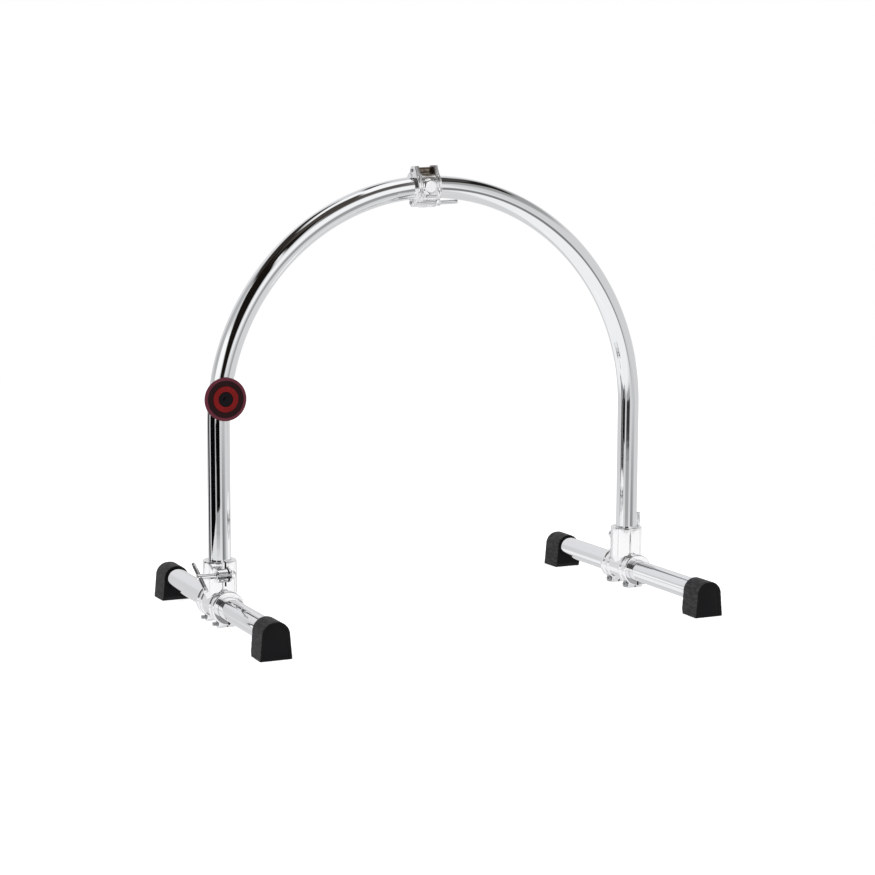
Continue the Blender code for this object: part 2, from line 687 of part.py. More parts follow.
def make_rear_jaw(crown, bore, pin_hole):
    """Rear half: a tongue with the hinge's knuckle above, the swing bolt's lugs below."""
    jaw = make_ring("top_rear_jaw", crown)
    front = guide("top_front_half", half_mesh(-TOP_RADIUS * 2, SLIT / 2), crown, TUBE_PLACE)
    tongue = rod_mesh("tongue", TONGUE_REACH, -KNUCKLE_HALF, KNUCKLE_HALF, 40)
    cut(front, guide("top_tongue", tongue, crown, HINGE_PLACE, ALONG_TUBE))
    cut(jaw, front)
    for place, start in (("left", -TOP_LENGTH), ("right", KNUCKLE_HALF)):
        end = start + TOP_LENGTH - KNUCKLE_HALF
        space = rod_mesh("space", HINGE_EAR_RADIUS + HINGE_GAP, start, end)
        cut(jaw, guide(f"top_{place}_ear_space", space, crown, HINGE_PLACE, ALONG_TUBE))

    knuckle = nose_outline((0, HINGE_HEIGHT), KNUCKLE_RADIUS, KNUCKLE_RADIUS * 1.5, 0, 180)
    knuckle = plate_mesh("knuckle", knuckle, -KNUCKLE_HALF, KNUCKLE_HALF, OUTLINE_TO_YZ)
    pin_centre = (PIN_BEHIND, -TOP_BOLT_DROP)
    half = TOP_LENGTH / 2 - LUG_INSET
    lug = nose_outline(pin_centre, PIN_LUG_RADIUS, TOP_BOLT_DROP / 2, 180, 360)
    lug = plate_mesh("pin lug", lug, -half, half, OUTLINE_TO_YZ)
    join(jaw, guide("top_knuckle", knuckle, crown, TUBE_PLACE))
    join(jaw, guide("top_pin_lug", lug, crown, TUBE_PLACE))

    wide = EYE_HALF_WIDTH + HINGE_GAP
    slot = plate_mesh("slot", eye_slot_outline(), -wide, wide, OUTLINE_TO_YZ)
    swing_hole = rod_mesh("hole", PIN_RADIUS + CLEARANCE, -TOP_LENGTH, TOP_LENGTH, ROUND_SIDES)
    cut(jaw, bore, pin_hole, guide("top_eye_slot", slot, crown, TUBE_PLACE))
    cut(jaw, guide("top_swing_hole", swing_hole, crown, SWING_PLACE, ALONG_TUBE))


def make_front_jaw(crown, bore, pin_hole):
    """Front half: two hinge ears, a round boss, and a forked lug for the swing bolt."""
    jaw = make_ring("top_front_jaw", crown)
    rear = guide("top_rear_half", half_mesh(-SLIT / 2, TOP_RADIUS * 2), crown, TUBE_PLACE)
    inner = KNUCKLE_HALF + HINGE_GAP
    space = rod_mesh("space", TONGUE_REACH + HINGE_GAP, -inner, inner, 40)
    cut(jaw, rear, guide("top_tongue_space", space, crown, HINGE_PLACE, ALONG_TUBE))

    outer = TOP_LENGTH / 2 - LUG_INSET / 2
    for place, start, end in (("left", -outer, -inner), ("right", inner, outer)):
        ear = plate_mesh("ear", hinge_ear_outline(), start, end, OUTLINE_TO_YZ)
        join(jaw, guide(f"top_{place}_ear", ear, crown, TUBE_PLACE))
    wide = TOP_LUG_HALF_WIDTH
    lug = plate_mesh("lug", front_lug_outline(), -wide, wide, OUTLINE_TO_YZ)
    boss = [
        (0, TOP_RADIUS + BOSS_RISE),
        (BOSS_RADIUS * 0.6, TOP_RADIUS + BOSS_RISE * 0.85),
        (BOSS_RADIUS * 0.9, TOP_RADIUS + BOSS_RISE * 0.45),
        (BOSS_RADIUS, TOP_RADIUS),
        (BOSS_RADIUS, TOP_BORE),
        (0, TOP_BORE),
    ]
    boss = turn(guide("top_boss", profile_mesh("boss", boss), crown, TUBE_PLACE, ALONG_Y), 24)
    join(jaw, guide("top_front_lug", lug, crown, TUBE_PLACE), boss)

    fork = nose_outline((0, 0), SHANK_HOLE, TOP_LUG_EDGE * 2, 0, 180, 6)
    fork = plate_mesh("fork", fork, 0, TOP_LUG_DEPTH * 2, OUTLINE_TO_XZ)
    fork_place = (0, 0, ARCH_RADIUS - TOP_BOLT_DROP)
    cut(jaw, bore, pin_hole, guide("top_lug_fork", fork, crown, fork_place))


def pin_profile():
    """Pin as long as the clamp, with a small head at one end."""
    head = TOP_LENGTH / 2 + CLEARANCE
    tail = -TOP_LENGTH / 2 - EDGE_BREAK
    return [
        (0, head + PIN_HEAD_THICKNESS),
        (PIN_HEAD_RADIUS - EDGE_BREAK, head + PIN_HEAD_THICKNESS),
        (PIN_HEAD_RADIUS, head + PIN_HEAD_THICKNESS - EDGE_BREAK),
        (PIN_HEAD_RADIUS, head),
        (PIN_RADIUS, head),
        (PIN_RADIUS, tail),
        (0, tail),
    ]


def make_swing_bolt(crown):
    """Eye bolt that swings down out of the fork, with its washer and T-nut."""
    swing = axis_empty("top_swing_axis", crown, SWING_PLACE)
    reach = PIN_BEHIND + TOP_LUG_DEPTH
    tip = reach + T_NUT_BLIND - 2 * CLEARANCE
    shank = [(0, tip), (SHANK_RADIUS - EDGE_BREAK, tip), (SHANK_RADIUS, tip - EDGE_BREAK)]
    shank = profile_mesh("shank", shank + [(SHANK_RADIUS, 0), (0, 0)])
    bolt = turn(piece("top_swing_bolt", shank, STEEL, swing, rotation=ALONG_Y), ROUND_SIDES)
    eye = rod_mesh("eye", EYE_RADIUS, -EYE_HALF_WIDTH, EYE_HALF_WIDTH, 24)
    hole = rod_mesh("hole", PIN_RADIUS + CLEARANCE, -EYE_RADIUS, EYE_RADIUS, ROUND_SIDES)
    join(bolt, guide("top_eye", eye, swing, rotation=ALONG_TUBE))
    cut(bolt, guide("top_eye_hole", hole, swing, rotation=ALONG_TUBE))

    axis = axis_empty("top_t_axis", swing, (0, -reach, 0), ALONG_Y)
    nut = turn(piece("top_t_nut", profile_mesh("nut", t_nut_profile()), CHROME, axis), ROUND_SIDES)
    add_t_bar("top_t", nut, axis, TOP_BAR_TURN)
    add_washer("top_t", axis)


def make_top_clamp():
    crown = axis_empty("top_clamp_travel_axis", None, (0, 0, SPRING_LINE), (0, -TOP_ANGLE, 0))
    reach = math.degrees(TOP_LENGTH / ARCH_RADIUS)
    path = arc_points((0, 0), ARCH_RADIUS, 90 + reach, 90 - reach, 8)
    bore = pipe_mesh("bore", [(across, 0, up) for across, up in path], TOP_BORE, capped=True)
    bore = guide("top_bore", bore, crown)
    pin_hole = rod_mesh("pin hole", PIN_RADIUS + CLEARANCE, -TOP_LENGTH, TOP_LENGTH, ROUND_SIDES)
    pin_hole = guide("top_pin_hole", pin_hole, crown, HINGE_PLACE, ALONG_TUBE)
    make_rear_jaw(crown, bore, pin_hole)
    make_front_jaw(crown, bore, pin_hole)
    for name, place in (("top_hinge_pin", HINGE_PLACE), ("top_swing_pin", SWING_PLACE)):
        pin = piece(name, profile_mesh("pin", pin_profile()), STEEL, crown, place, ALONG_X)
        turn(pin, ROUND_SIDES)
    make_swing_bolt(crown)


def make_badge():
    """Round badge on a strap, level with the lower bend of the left leg."""
    leg_x = -ARCH_RADIUS * math.cos(BADGE_ANGLE)
    leg = axis_empty("badge_axis", None, (leg_x, 0, BADGE_HEIGHT), (0, BADGE_ANGLE, 0))
    half = STRAP_WIDTH / 2
    band = [(STRAP_INNER, half), (STRAP_OUTER, half), (STRAP_OUTER, -half), (STRAP_INNER, -half)]
    strap = turn(piece("badge_strap", profile_mesh("strap", band, closed=True), STRAP, leg), CLAMP_SIDES)

    centre = (leg_x + BADGE_OFFSET, 0, BADGE_HEIGHT)
    front = STRAP_OUTER + CLEARANCE + BADGE_THICKNESS
    radius = BADGE_DIAMETER / 2
    floor = front - RING_DEPTH
    hole = RIVET_RADIUS + CLEARANCE
    disc = [
        (hole, front),
        (RING_INNER - CLEARANCE, front),
        (RING_INNER - CLEARANCE, floor),
        (RING_OUTER + CLEARANCE, floor),
        (RING_OUTER + CLEARANCE, front),
        (radius - 2 * BADGE_EDGE, front),
        (radius, front - BADGE_EDGE),
        (radius, front - BADGE_THICKNESS),
        (hole, front - BADGE_THICKNESS),
    ]
    disc = profile_mesh("disc", disc, closed=True)
    turn(piece("badge_disc", disc, BADGE, None, centre, ALONG_Y), BADGE_SIDES)
    ring = [
        (RING_INNER, front + RING_PROUD),
        (RING_OUTER, front + RING_PROUD),
        (RING_OUTER, floor + CLEARANCE),
        (RING_INNER, floor + CLEARANCE),
    ]
    ring = piece("badge_ring", profile_mesh("ring", ring, True), BADGE_RED, None, centre, ALONG_Y)
    turn(ring, BADGE_SIDES)

    head = front + CLEARANCE
    rivet = [
        (0, head + RIVET_HEAD_HEIGHT),
        (RIVET_HEAD_RADIUS * 0.6, head + RIVET_HEAD_HEIGHT * 0.8),
        (RIVET_HEAD_RADIUS, head),
        (RIVET_RADIUS, head),
        (RIVET_RADIUS, STRAP_INNER + CLEARANCE),
        (0, STRAP_INNER + CLEARANCE),
    ]
    turn(piece("badge_rivet", profile_mesh("rivet", rivet), STEEL, None, centre, ALONG_Y), ROUND_SIDES)
    hole = rod_mesh("hole", hole, 0, front * 2, ROUND_SIDES)
    cut(strap, guide("badge_rivet_hole", hole, None, centre, ALONG_Y))


clear_scene()
PARTS = new_collection("drum_docking_frame")
CUTTERS = new_collection("cutters")
CHROME = finish("chromed_steel_tube", (0.78, 0.79, 0.80), 0.06, 1.0)
CAST_CHROME = finish("chromed_casting", (0.80, 0.81, 0.82), 0.12, 1.0)
STEEL = finish("zinc_plated_steel", (0.55, 0.56, 0.57), 0.25, 1.0)
RUBBER = finish("black_rubber", (0.016, 0.016, 0.017), 0.65, 0.0)
STRAP = finish("woven_strap", (0.020, 0.014, 0.016), 0.8, 0.0)
BADGE = finish("badge_maroon", (0.09, 0.012, 0.020), 0.35, 0.0)
BADGE_RED = finish("badge_red", (0.26, 0.014, 0.014), 0.35, 0.0)

make_arch()
make_base("left", -ARCH_RADIUS, 0, LEFT_BAR_TURN)
make_base("right", ARCH_RADIUS, math.pi, RIGHT_BAR_TURN)
make_top_clamp()
make_badge()
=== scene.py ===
import math

import bpy
from bpy.props import FloatProperty, FloatVectorProperty, IntProperty, PointerProperty
from mathutils import Matrix, Vector


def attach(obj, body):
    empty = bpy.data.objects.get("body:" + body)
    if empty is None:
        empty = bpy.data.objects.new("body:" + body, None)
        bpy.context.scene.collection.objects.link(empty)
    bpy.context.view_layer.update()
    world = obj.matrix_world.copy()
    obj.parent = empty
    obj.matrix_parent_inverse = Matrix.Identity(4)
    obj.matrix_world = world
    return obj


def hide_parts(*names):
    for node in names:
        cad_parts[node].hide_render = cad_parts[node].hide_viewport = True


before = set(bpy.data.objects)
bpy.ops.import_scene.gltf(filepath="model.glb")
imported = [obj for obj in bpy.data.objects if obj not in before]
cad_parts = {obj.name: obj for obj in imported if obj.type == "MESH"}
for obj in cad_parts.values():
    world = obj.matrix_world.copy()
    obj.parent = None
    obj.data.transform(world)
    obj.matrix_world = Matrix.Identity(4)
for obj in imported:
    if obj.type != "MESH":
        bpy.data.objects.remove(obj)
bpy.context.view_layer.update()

bl_info = {
    "name": "Drum docking frame",
    "version": (1, 0, 0),
    "blender": (4, 5, 0),
    "location": "View3D > Sidebar > Docking Frame",
    "description": "Builds a chromed drum docking frame, piece by piece",
    "category": "Add Mesh",
}


def at(x, y, z):
    return Matrix.Translation((x, y, z))


def turn(degrees, axis):
    return Matrix.Rotation(math.radians(degrees), 4, axis)


# Turns that lay a piece drawn up +Z along another axis, and one that lays a plate's thickness along -Y
ALONG_Y = turn(90, "X")
ALONG_X = turn(-90, "Y")
ALONG_TUBE = turn(90, "Y")
TO_FRONT = turn(-90, "Z")

# Room between parts that fit together, in metres
FIT = 0.0003
# Faces round turned forms, from the badge and the tube down to the grooves
BADGE_SIDES = 128
TUBE_SIDES = 96
BOLT_SIDES = 64
BAR_SIDES = 48
PIN_SIDES = 40
KEY_HOLE_SIDES = 32
GROOVE_SIDES = 24
HEXAGON = 6
SENSOR_WIDTH = 36


def length(label, about, default):
    return FloatProperty(name=label, description=about, default=default, unit="LENGTH", precision=5)


def angle(label, about, degrees):
    return FloatProperty(name=label, description=about, default=math.radians(degrees), subtype="ANGLE")


def colour(label, about, code):
    return FloatVectorProperty(
        name=label, description=about, default=from_hex(code), subtype="COLOR", size=4, min=0, max=1
    )


def from_hex(code):
    """A colour written as sRGB hex, as linear red, green, blue and alpha."""
    parts = [int(code[i : i + 2], 16) / 255 for i in (1, 3, 5)]
    return tuple(p / 12.92 if p <= 0.04045 else ((p + 0.055) / 1.055) ** 2.4 for p in parts) + (1.0,)


class TubeSizes(bpy.types.PropertyGroup):
    radius: length("Radius", "Outer radius of the 1.5 inch tube", 0.01905)
    wall: length("Wall", "Wall of the tube", 0.002)
    fit: length("Fit", "Gap all round between tube and bore", 0.0003)
    arch_radius: length("Arch radius", "Centre line of the bend", 0.3935)
    leg_foot: length("Leg foot", "Height of the legs' ends", 0.0663)
    spring_line: length("Spring line", "Height where the bend begins", 0.339)
    bar_length: length("Bar length", "Length of a base bar", 0.5268)
    bar_shift: length("Bar shift", "How far a bar stands off centre in its clamp", 0.0085)
    bar_height: length("Bar height", "Height of a base bar's axis", 0.03935)
    sides: IntProperty(name="Sides", description="Faces round the tube", default=96)
    bend_steps: IntProperty(name="Bend steps", description="Faces along the bend", default=144)


class FootSizes(bpy.types.PropertyGroup):
    length: length("Length", "Length along the bar", 0.0479)
    wall: length("Wall", "Rubber over the bar", 0.0033)
    end_wall: length("End wall", "Rubber past the bar's end", 0.008)
    flare: length("Flare", "How far each side stands out at the sole", 0.0032)
    taper: FloatProperty(name="Taper", description="How much wider the outer end is", default=0.05)
    chamfer: length("Chamfer", "Slope round the outer end", 0.004)
    mouth_rise: length("Mouth rise", "How far the sole's inner edge is cut up", 0.007)
    panel_depth: length("Panel depth", "Depth of the end's sunk panel", 0.0009)
    panel_edge: length("Panel edge", "Lip round the panel", 0.0042)
    rib_pitch: length("Rib pitch", "Spacing of the grooves in the sole", 0.006)
    rib_depth: length("Rib depth", "Depth of the grooves in the sole", 0.0022)
    skin: length("Skin", "Grid of the moulded skin", 0.0008)


class ClampSizes(bpy.types.PropertyGroup):
    sleeve_length: length("Sleeve length", "Length of the sleeve on the bar", 0.088)
    sleeve_radius: length("Sleeve radius", "Outer radius of the sleeve", 0.02635)
    rim_width: length("Rim width", "Width of the sleeve's end rims", 0.009)
    rim_rise: length("Rim rise", "How far the rims stand proud", 0.002)
    rib_place: length("Rib place", "The sleeve ribs' distance from the middle", 0.0215)
    rib_width: length("Rib width", "Width of the sleeve's two ribs", 0.005)
    rib_rise: length("Rib rise", "How far the ribs stand proud", 0.0016)
    socket_radius: length("Socket radius", "Outer radius of the leg's socket", 0.0285)
    socket_floor: length("Socket floor", "Height of the socket's floor", 0.066)
    socket_top: length("Socket top", "Height of the socket's rim", 0.115)
    skirt_drop: length("Skirt drop", "Depth of the socket's skirt", 0.020)
    skirt_taper: length("Skirt taper", "How far the skirt closes in", 0.006)
    ear_outer: length("Ear outer face", "Outer face of the two ears", 0.0183)
    ear_inner: length("Ear inner face", "Inner face of the two ears", 0.0055)
    ear_radius: length("Ear radius", "Round nose of the ears", 0.0115)
    slit: length("Slit", "Width of the slits", 0.003)
    slot_floor: length("Slot floor", "Height where the socket's slot begins", 0.074)
    lug_spread: length("Lug spread", "The key lugs' distance from the middle", 0.029)
    lug_height: length("Lug height", "Height of the key bolts", 0.0125)
    lug_radius: length("Lug radius", "Round nose of the key lugs", 0.0075)
    lug_half_width: length("Lug half width", "Half the width over the key lugs", 0.015)
    skin: length("Skin", "Grid of the cast skin", 0.00075)


class KeySizes(bpy.types.PropertyGroup):
    radius: length("Radius", "Radius of the key bolts", 0.003)
    flange: length("Flange", "Radius of the head's flange", 0.0045)
    flange_thick: length("Flange thickness", "Thickness of the flange", 0.0016)
    square: length("Square", "Width of the square head", 0.0055)
    square_length: length("Square length", "Length of the square head", 0.0065)
    nut_flats: length("Nut flats", "Width of the nut over its flats", 0.010)
    nut_thick: length("Nut thickness", "Thickness of the nut", 0.005)
    tip: length("Tip", "Thread past the nut", 0.0015)
    pitch: length("Pitch", "Pitch of the thread", 0.001)


class BoltSizes(bpy.types.PropertyGroup):
    bolt_y: length("Bolt distance", "Leg bolt's distance from the leg's axis", 0.036306)
    bolt_z: length("Bolt height", "Leg bolt's height", 0.0945)
    shank: length("Shank", "Radius of the threaded shank", 0.0036)
    barrel: length("Barrel", "Radius of the handle's barrel", 0.005)
    hub: length("Hub", "Radius of the handle's hub", 0.0056)
    hub_half: length("Hub half length", "Half the hub's length", 0.0055)
    reach: length("Reach", "The T-bar's distance from the ear", 0.029)
    bar: length("T-bar radius", "Radius of the sliding bar", 0.0035)
    bar_length: length("T-bar length", "Length of the sliding bar", 0.076)
    washer: length("Washer", "Radius of the washers", 0.0075)
    washer_thick: length("Washer thickness", "Thickness of the washers", 0.0012)
    nut_flats: length("Nut flats", "Width of the leg nut over its flats", 0.013)
    nut_thick: length("Nut thickness", "Thickness of the leg nut", 0.0065)
    tip: length("Tip", "Thread past the nut", 0.003)
    pitch: length("Pitch", "Pitch of the threads, drawn", 0.00125)
    left_turn: angle("Left turn", "Turn of the left T-bar", 63)
    right_turn: angle("Right turn", "Turn of the right T-bar", 0)
    top_turn: angle("Crown turn", "Turn of the crown's T-bar", 0)


class CrownSizes(bpy.types.PropertyGroup):
    offset: length("Offset", "How far the clamp stands left of the crown", 0.019)
    length: length("Length", "Length of the clamp along the tube", 0.044)
    bore: length("Bore", "Radius of the clamp's bore", 0.01965)
    radius: length("Radius", "Radius of the clamp's body", 0.02635)
    rim_width: length("Rim width", "Width of the end rims", 0.0045)
    rim_rise: length("Rim rise", "How far the rims stand proud", 0.0015)
    lug_depth: length("Lug depth", "How far the front lug stands out", 0.0215)
    lug_half_width: length("Lug half width", "Half the front lug's width", 0.013)
    lug_edge: length("Lug edge", "Round lower edge of the lug", 0.0085)
    bolt_drop: length("Bolt drop", "The swing bolt's depth below the tube's axis", 0.02575)
    boss: length("Boss", "Radius of the front boss", 0.014)
    boss_rise: length("Boss rise", "How far the boss stands out", 0.003)
    hinge: length("Hinge", "The hinge pin's height over the tube's axis", 0.02895)
    ear: length("Ear", "Radius of the hinge ears", 0.0074)
    horn: length("Horn", "How far the ears reach forward", 0.0125)
    horn_round: length("Horn round", "Rounding of the horn", 0.0015)
    knuckle: length("Knuckle", "Radius of the knuckle", 0.0048)
    knuckle_half: length("Knuckle half length", "Half the knuckle's length", 0.0132)
    tongue: length("Tongue", "The tongue's reach from the hinge pin", 0.0196)
    gap: length("Gap", "Room round moving parts", 0.0004)
    pin: length("Pin", "Radius of the two pins", 0.0021)
    pin_behind: length("Pin behind", "The swing pin's distance behind the tube's axis", 0.009)
    pin_lug: length("Pin lug", "Radius of the swing pin's lugs", 0.0075)
    eye: length("Eye", "Radius of the swing bolt's eye", 0.006)
    eye_half: length("Eye half width", "Half the eye's width", 0.0036)
    skin: length("Skin", "Grid of the cast skin", 0.00055)


class BadgeSizes(bpy.types.PropertyGroup):
    height: length("Height", "Height of the badge's centre", 0.3855)
    radius: length("Radius", "Radius of the badge", 0.036)
    thick: length("Thickness", "Thickness of the badge", 0.0035)
    front: length("Front", "The face's distance from the leg's axis", 0.02565)
    offset: length("Offset", "How far the badge stands off the leg's axis", 0.002)
    edge: length("Edge", "Rounding of the rim", 0.001)
    rim: length("Rim", "Width of the maroon rim", 0.005)
    ring_outer: length("Ring outer", "Outer radius of the red ring", 0.0215)
    ring_inner: length("Ring inner", "Inner radius of the red ring", 0.0125)
    ring_depth: length("Ring depth", "Depth of the ring's seat", 0.0008)
    ring_proud: length("Ring proud", "How far the ring stands out", 0.0003)
    strap_width: length("Strap width", "Width of the strap", 0.026)
    strap_inner: length("Strap inner", "Inner radius of the strap", 0.01965)
    strap_outer: length("Strap outer", "Outer radius of the strap", 0.02185)


class Finishes(bpy.types.PropertyGroup):
    chrome: colour("Chrome", "Polished chrome plate", "#f1f2f3")
    casting: colour("Casting", "Chrome plate on a casting", "#f8f8f9")
    # Painted shade: a near-black colour for the slits' faces, standing in for the shade inside the slits
    painted_slit_shade: colour("Painted slit shade", "Bare casting in the slits", "#1d1b1a")
    zinc: colour("Zinc", "Zinc plated steel", "#a9abac")
    dulled: colour("Dulled", "Browned chrome at the hinge", "#83786d")
    nickel: colour("Nickel", "Dark nickel on the rivet", "#221f21")
    rubber: colour("Rubber", "Moulded black rubber", "#111113")
    # Painted sheen: the walls' two greys stand partly for rubbing and partly for the glare on the walls,
    # which makes them lighter than the black ends
    rubbed_and_sheen: colour("Rubbed rubber", "Rubber of the walls", "#2a2a2b")
    scuffed_and_sheen: colour("Scuffed rubber", "Walls where they are rubbed grey", "#404041")
    webbing: colour("Webbing", "Brown-black webbing", "#2a1417")
    maroon: colour("Maroon", "Badge's rim", "#632c38")
    ground: colour("Ground", "Badge's dark ground", "#261114")
    centre: colour("Centre", "Badge's centre", "#120f12")
    red: colour("Red", "Badge's ring", "#7e1718")


class StageSettings(bpy.types.PropertyGroup):
    camera_place: FloatVectorProperty(
        name="Camera",
        description="Place of the camera",
        default=(-1.4708, -3.1011, 0.74686),
        subtype="TRANSLATION",
    )
    yaw: angle("Yaw", "Turn of the camera about Z", -25.501)
    pitch: angle("Pitch", "How far the camera looks down", -7.431)
    roll: angle("Roll", "Turn of the camera about its view", 0.223)
    lens: FloatProperty(name="Lens", description="Focal length in mm", default=1987.15 / 875 * SENSOR_WIDTH)


GROUPS = {
    "docking_tube": TubeSizes,
    "docking_foot": FootSizes,
    "docking_clamp": ClampSizes,
    "docking_key": KeySizes,
    "docking_bolt": BoltSizes,
    "docking_crown": CrownSizes,
    "docking_badge": BadgeSizes,
    "docking_finish": Finishes,
    "docking_stage": StageSettings,
}


def sizes(name):
    return getattr(bpy.context.scene, "docking_" + name)


# Modelling


def deselect():
    if bpy.context.object and bpy.context.object.mode == "EDIT":
        bpy.ops.object.mode_set(mode="OBJECT")
    bpy.ops.object.select_all(action="DESELECT")


def activate(obj):
    deselect()
    bpy.context.view_layer.objects.active = obj
    obj.select_set(True)


def select_faces(test):
    """Select the faces of the mesh in edit mode that pass a test."""
    bpy.ops.mesh.select_mode(type="FACE")
    bpy.ops.mesh.select_all(action="DESELECT")
    bpy.ops.object.mode_set(mode="OBJECT")
    for face in bpy.context.object.data.polygons:
        face.select = test(face)
    bpy.ops.object.mode_set(mode="EDIT")


def extrude(step):
    bpy.ops.mesh.extrude_region_move(TRANSFORM_OT_translate={"value": step})


def draw_outline(name, points, closed=True):
    """Draw a chain of edges from point to point, and stay in edit mode."""
    deselect()
    bpy.ops.mesh.primitive_plane_add(size=0.01, location=(0, 0, 0))
    bpy.context.object.name = name
    bpy.ops.object.mode_set(mode="EDIT")
    bpy.ops.mesh.select_mode(type="VERT")
    bpy.ops.mesh.select_all(action="SELECT")
    bpy.ops.mesh.merge(type="CENTER")
    bpy.ops.transform.translate(value=points[0])
    for here, there in zip(points, points[1:]):
        extrude(Vector(there) - Vector(here))
    if closed:
        bpy.ops.object.mode_set(mode="OBJECT")
        mesh = bpy.context.object.data
        for vertex in mesh.vertices:
            vertex.select = vertex.index in (0, len(mesh.vertices) - 1)
        bpy.ops.object.mode_set(mode="EDIT")
        bpy.ops.mesh.edge_face_add()
    bpy.ops.mesh.select_all(action="SELECT")


def close_up():
    """Merge doubles, turn the faces outwards and leave edit mode."""
    bpy.ops.mesh.select_all(action="SELECT")
    bpy.ops.mesh.remove_doubles(threshold=0.000002)
    bpy.ops.mesh.normals_make_consistent(inside=False)
    bpy.ops.object.mode_set(mode="OBJECT")
    return bpy.context.object


def turned(name, profile, steps=BOLT_SIDES, closed=False):
    """Spin an outline of (radius, height) points about Z."""
    draw_outline(name, [(radius, 0, height) for radius, height in profile], closed)
    bpy.ops.mesh.spin(steps=steps, angle=math.tau, center=(0, 0, 0), axis=(0, 0, 1))
    return close_up()


def plate(name, outline, start, end):
    """Plate from an outline in Y and Z, thick along X from start to end."""
    draw_outline(name, [(start, across, up) for across, up in outline])
    bpy.ops.mesh.edge_face_add()
    extrude((end - start, 0, 0))
    return close_up()


def rod(name, radius, start, end, sides=BOLT_SIDES):
    """Round rod along Z from start to end."""
    deselect()
    bpy.ops.mesh.primitive_cylinder_add(
        vertices=sides, radius=radius, depth=end - start, location=(0, 0, (start + end) / 2)
    )
    bpy.context.object.name = name
    return put(bpy.context.object)


def block(name, low, high):
    deselect()
    low, high = Vector(low), Vector(high)
    bpy.ops.mesh.primitive_cube_add(size=1, location=(low + high) / 2, scale=high - low)
    bpy.context.object.name = name
    return put(bpy.context.object)


def put(obj, *places):
    """Move a piece by matrices, in order from the outermost, and fix the move in its mesh."""
    activate(obj)
    for place in places:
        obj.matrix_world = obj.matrix_world @ place
    bpy.ops.object.transform_apply(location=True, rotation=True, scale=True)
    return obj


def twin(obj, name, *places):
    """A copy with its own mesh, moved."""
    activate(obj)
    bpy.ops.object.duplicate()
    bpy.context.object.name = name
    return put(bpy.context.object, *places)


def modify(obj, kind, **settings):
    """Add a modifier with its settings and apply it."""
    activate(obj)
    modifier = obj.modifiers.new(kind.title(), kind)
    for key, value in settings.items():
        setattr(modifier, key, value)
    bpy.ops.object.modifier_apply(modifier=modifier.name)
    return obj


def bevelled(obj, width, segments=3):
    return modify(obj, "BEVEL", width=width, segments=segments, limit_method="ANGLE")


def discard(*objects):
    for obj in objects:
        bpy.data.objects.remove(obj, do_unlink=True)


def combine(obj, operation, *others):
    for other in others:
        modify(obj, "BOOLEAN", operation=operation, solver="MANIFOLD", object=other)
        discard(other)
    return obj


def cut(obj, *others):
    return combine(obj, "DIFFERENCE", *others)


def join(obj, *others):
    return combine(obj, "UNION", *others)


def skin_over(obj, grid, rounds):
    """A fine grid over the joined forms, softened until their edges have small fillets."""
    modify(obj, "REMESH", mode="VOXEL", voxel_size=grid)
    return modify(obj, "SMOOTH", factor=0.5, iterations=rounds)


def arc(centre, radius, start, end, steps):
    """Points on an arc, angles in degrees."""
    turns = [math.radians(start + (end - start) * i / steps) for i in range(steps + 1)]
    return [(centre[0] + radius * math.cos(t), centre[1] + radius * math.sin(t)) for t in turns]


def rounded(radius, height, edge, start, end, steps):
    """Part of a profile: an edge rounded inwards from its corner."""
    return arc((radius - edge, height - edge), edge, start, end, steps)


def nose(centre, radius, root, start, end, steps=24):
    """Outline with a round nose about centre and straight sides back to the root."""
    tip = arc(centre, radius, start, end, steps)
    away = math.radians((start + end) / 2 + 180)
    first, last = [(x + math.cos(away) * root, y + math.sin(away) * root) for x, y in (tip[0], tip[-1])]
    return [first] + tip + [last]


def mirrored(upper):
    """A profile and its mirror image below."""
    return upper + [(radius, -height) for radius, height in reversed(upper)]


def thread(radius, start, end, pitch):
    """Profile of a threaded length, running from start down to end."""
    turns = max(1, round((start - end) / pitch))
    step = (start - end) / turns
    root = radius - 0.42 * pitch
    points = [(radius, start)]
    for i in range(turns):
        points.append((root, start - (i + 0.5) * step))
        points.append((radius, start - (i + 1) * step))
    return points


# Materials


def grey(value):
    return (value, value, value, 1.0)


def darker(tint, share):
    return tuple(part * share for part in tint[:3]) + (1.0,)


def per_metre(millimetres):
    """How often a pattern of this size repeats in a metre."""
    return round(1000 / millimetres)


def material(name, build):
    """A node material, made once."""
    made = bpy.data.materials.get(name)
    if made is None:
        made = bpy.data.materials.new(name)
        made.use_nodes = True
        made.node_tree.nodes.clear()
        build(made.node_tree)
    return made


def node(tree, kind, inputs=(), stops=(), **settings):
    """Add a node with its settings, and a ramp's stops, and return its outputs.

    Its inputs are given by name or in order, each as a socket to link or a plain value.
    """
    added = tree.nodes.new("ShaderNode" + kind)
    for key, value in settings.items():
        setattr(added, key, value)
    for key, given in inputs.items() if isinstance(inputs, dict) else enumerate(inputs):
        if isinstance(given, bpy.types.NodeSocket):
            tree.links.new(given, added.inputs[key])
        else:
            added.inputs[key].default_value = given
    if stops:
        elements = added.color_ramp.elements
        while len(elements) < len(stops):
            elements.new(0.5)
        for element, (place, shown) in zip(elements, stops):
            element.position = place
            element.color = shown
    return added.outputs


def surface(tree, inputs, kind="BsdfPrincipled"):
    node(tree, "OutputMaterial", {"Surface": node(tree, kind, inputs)[0]})


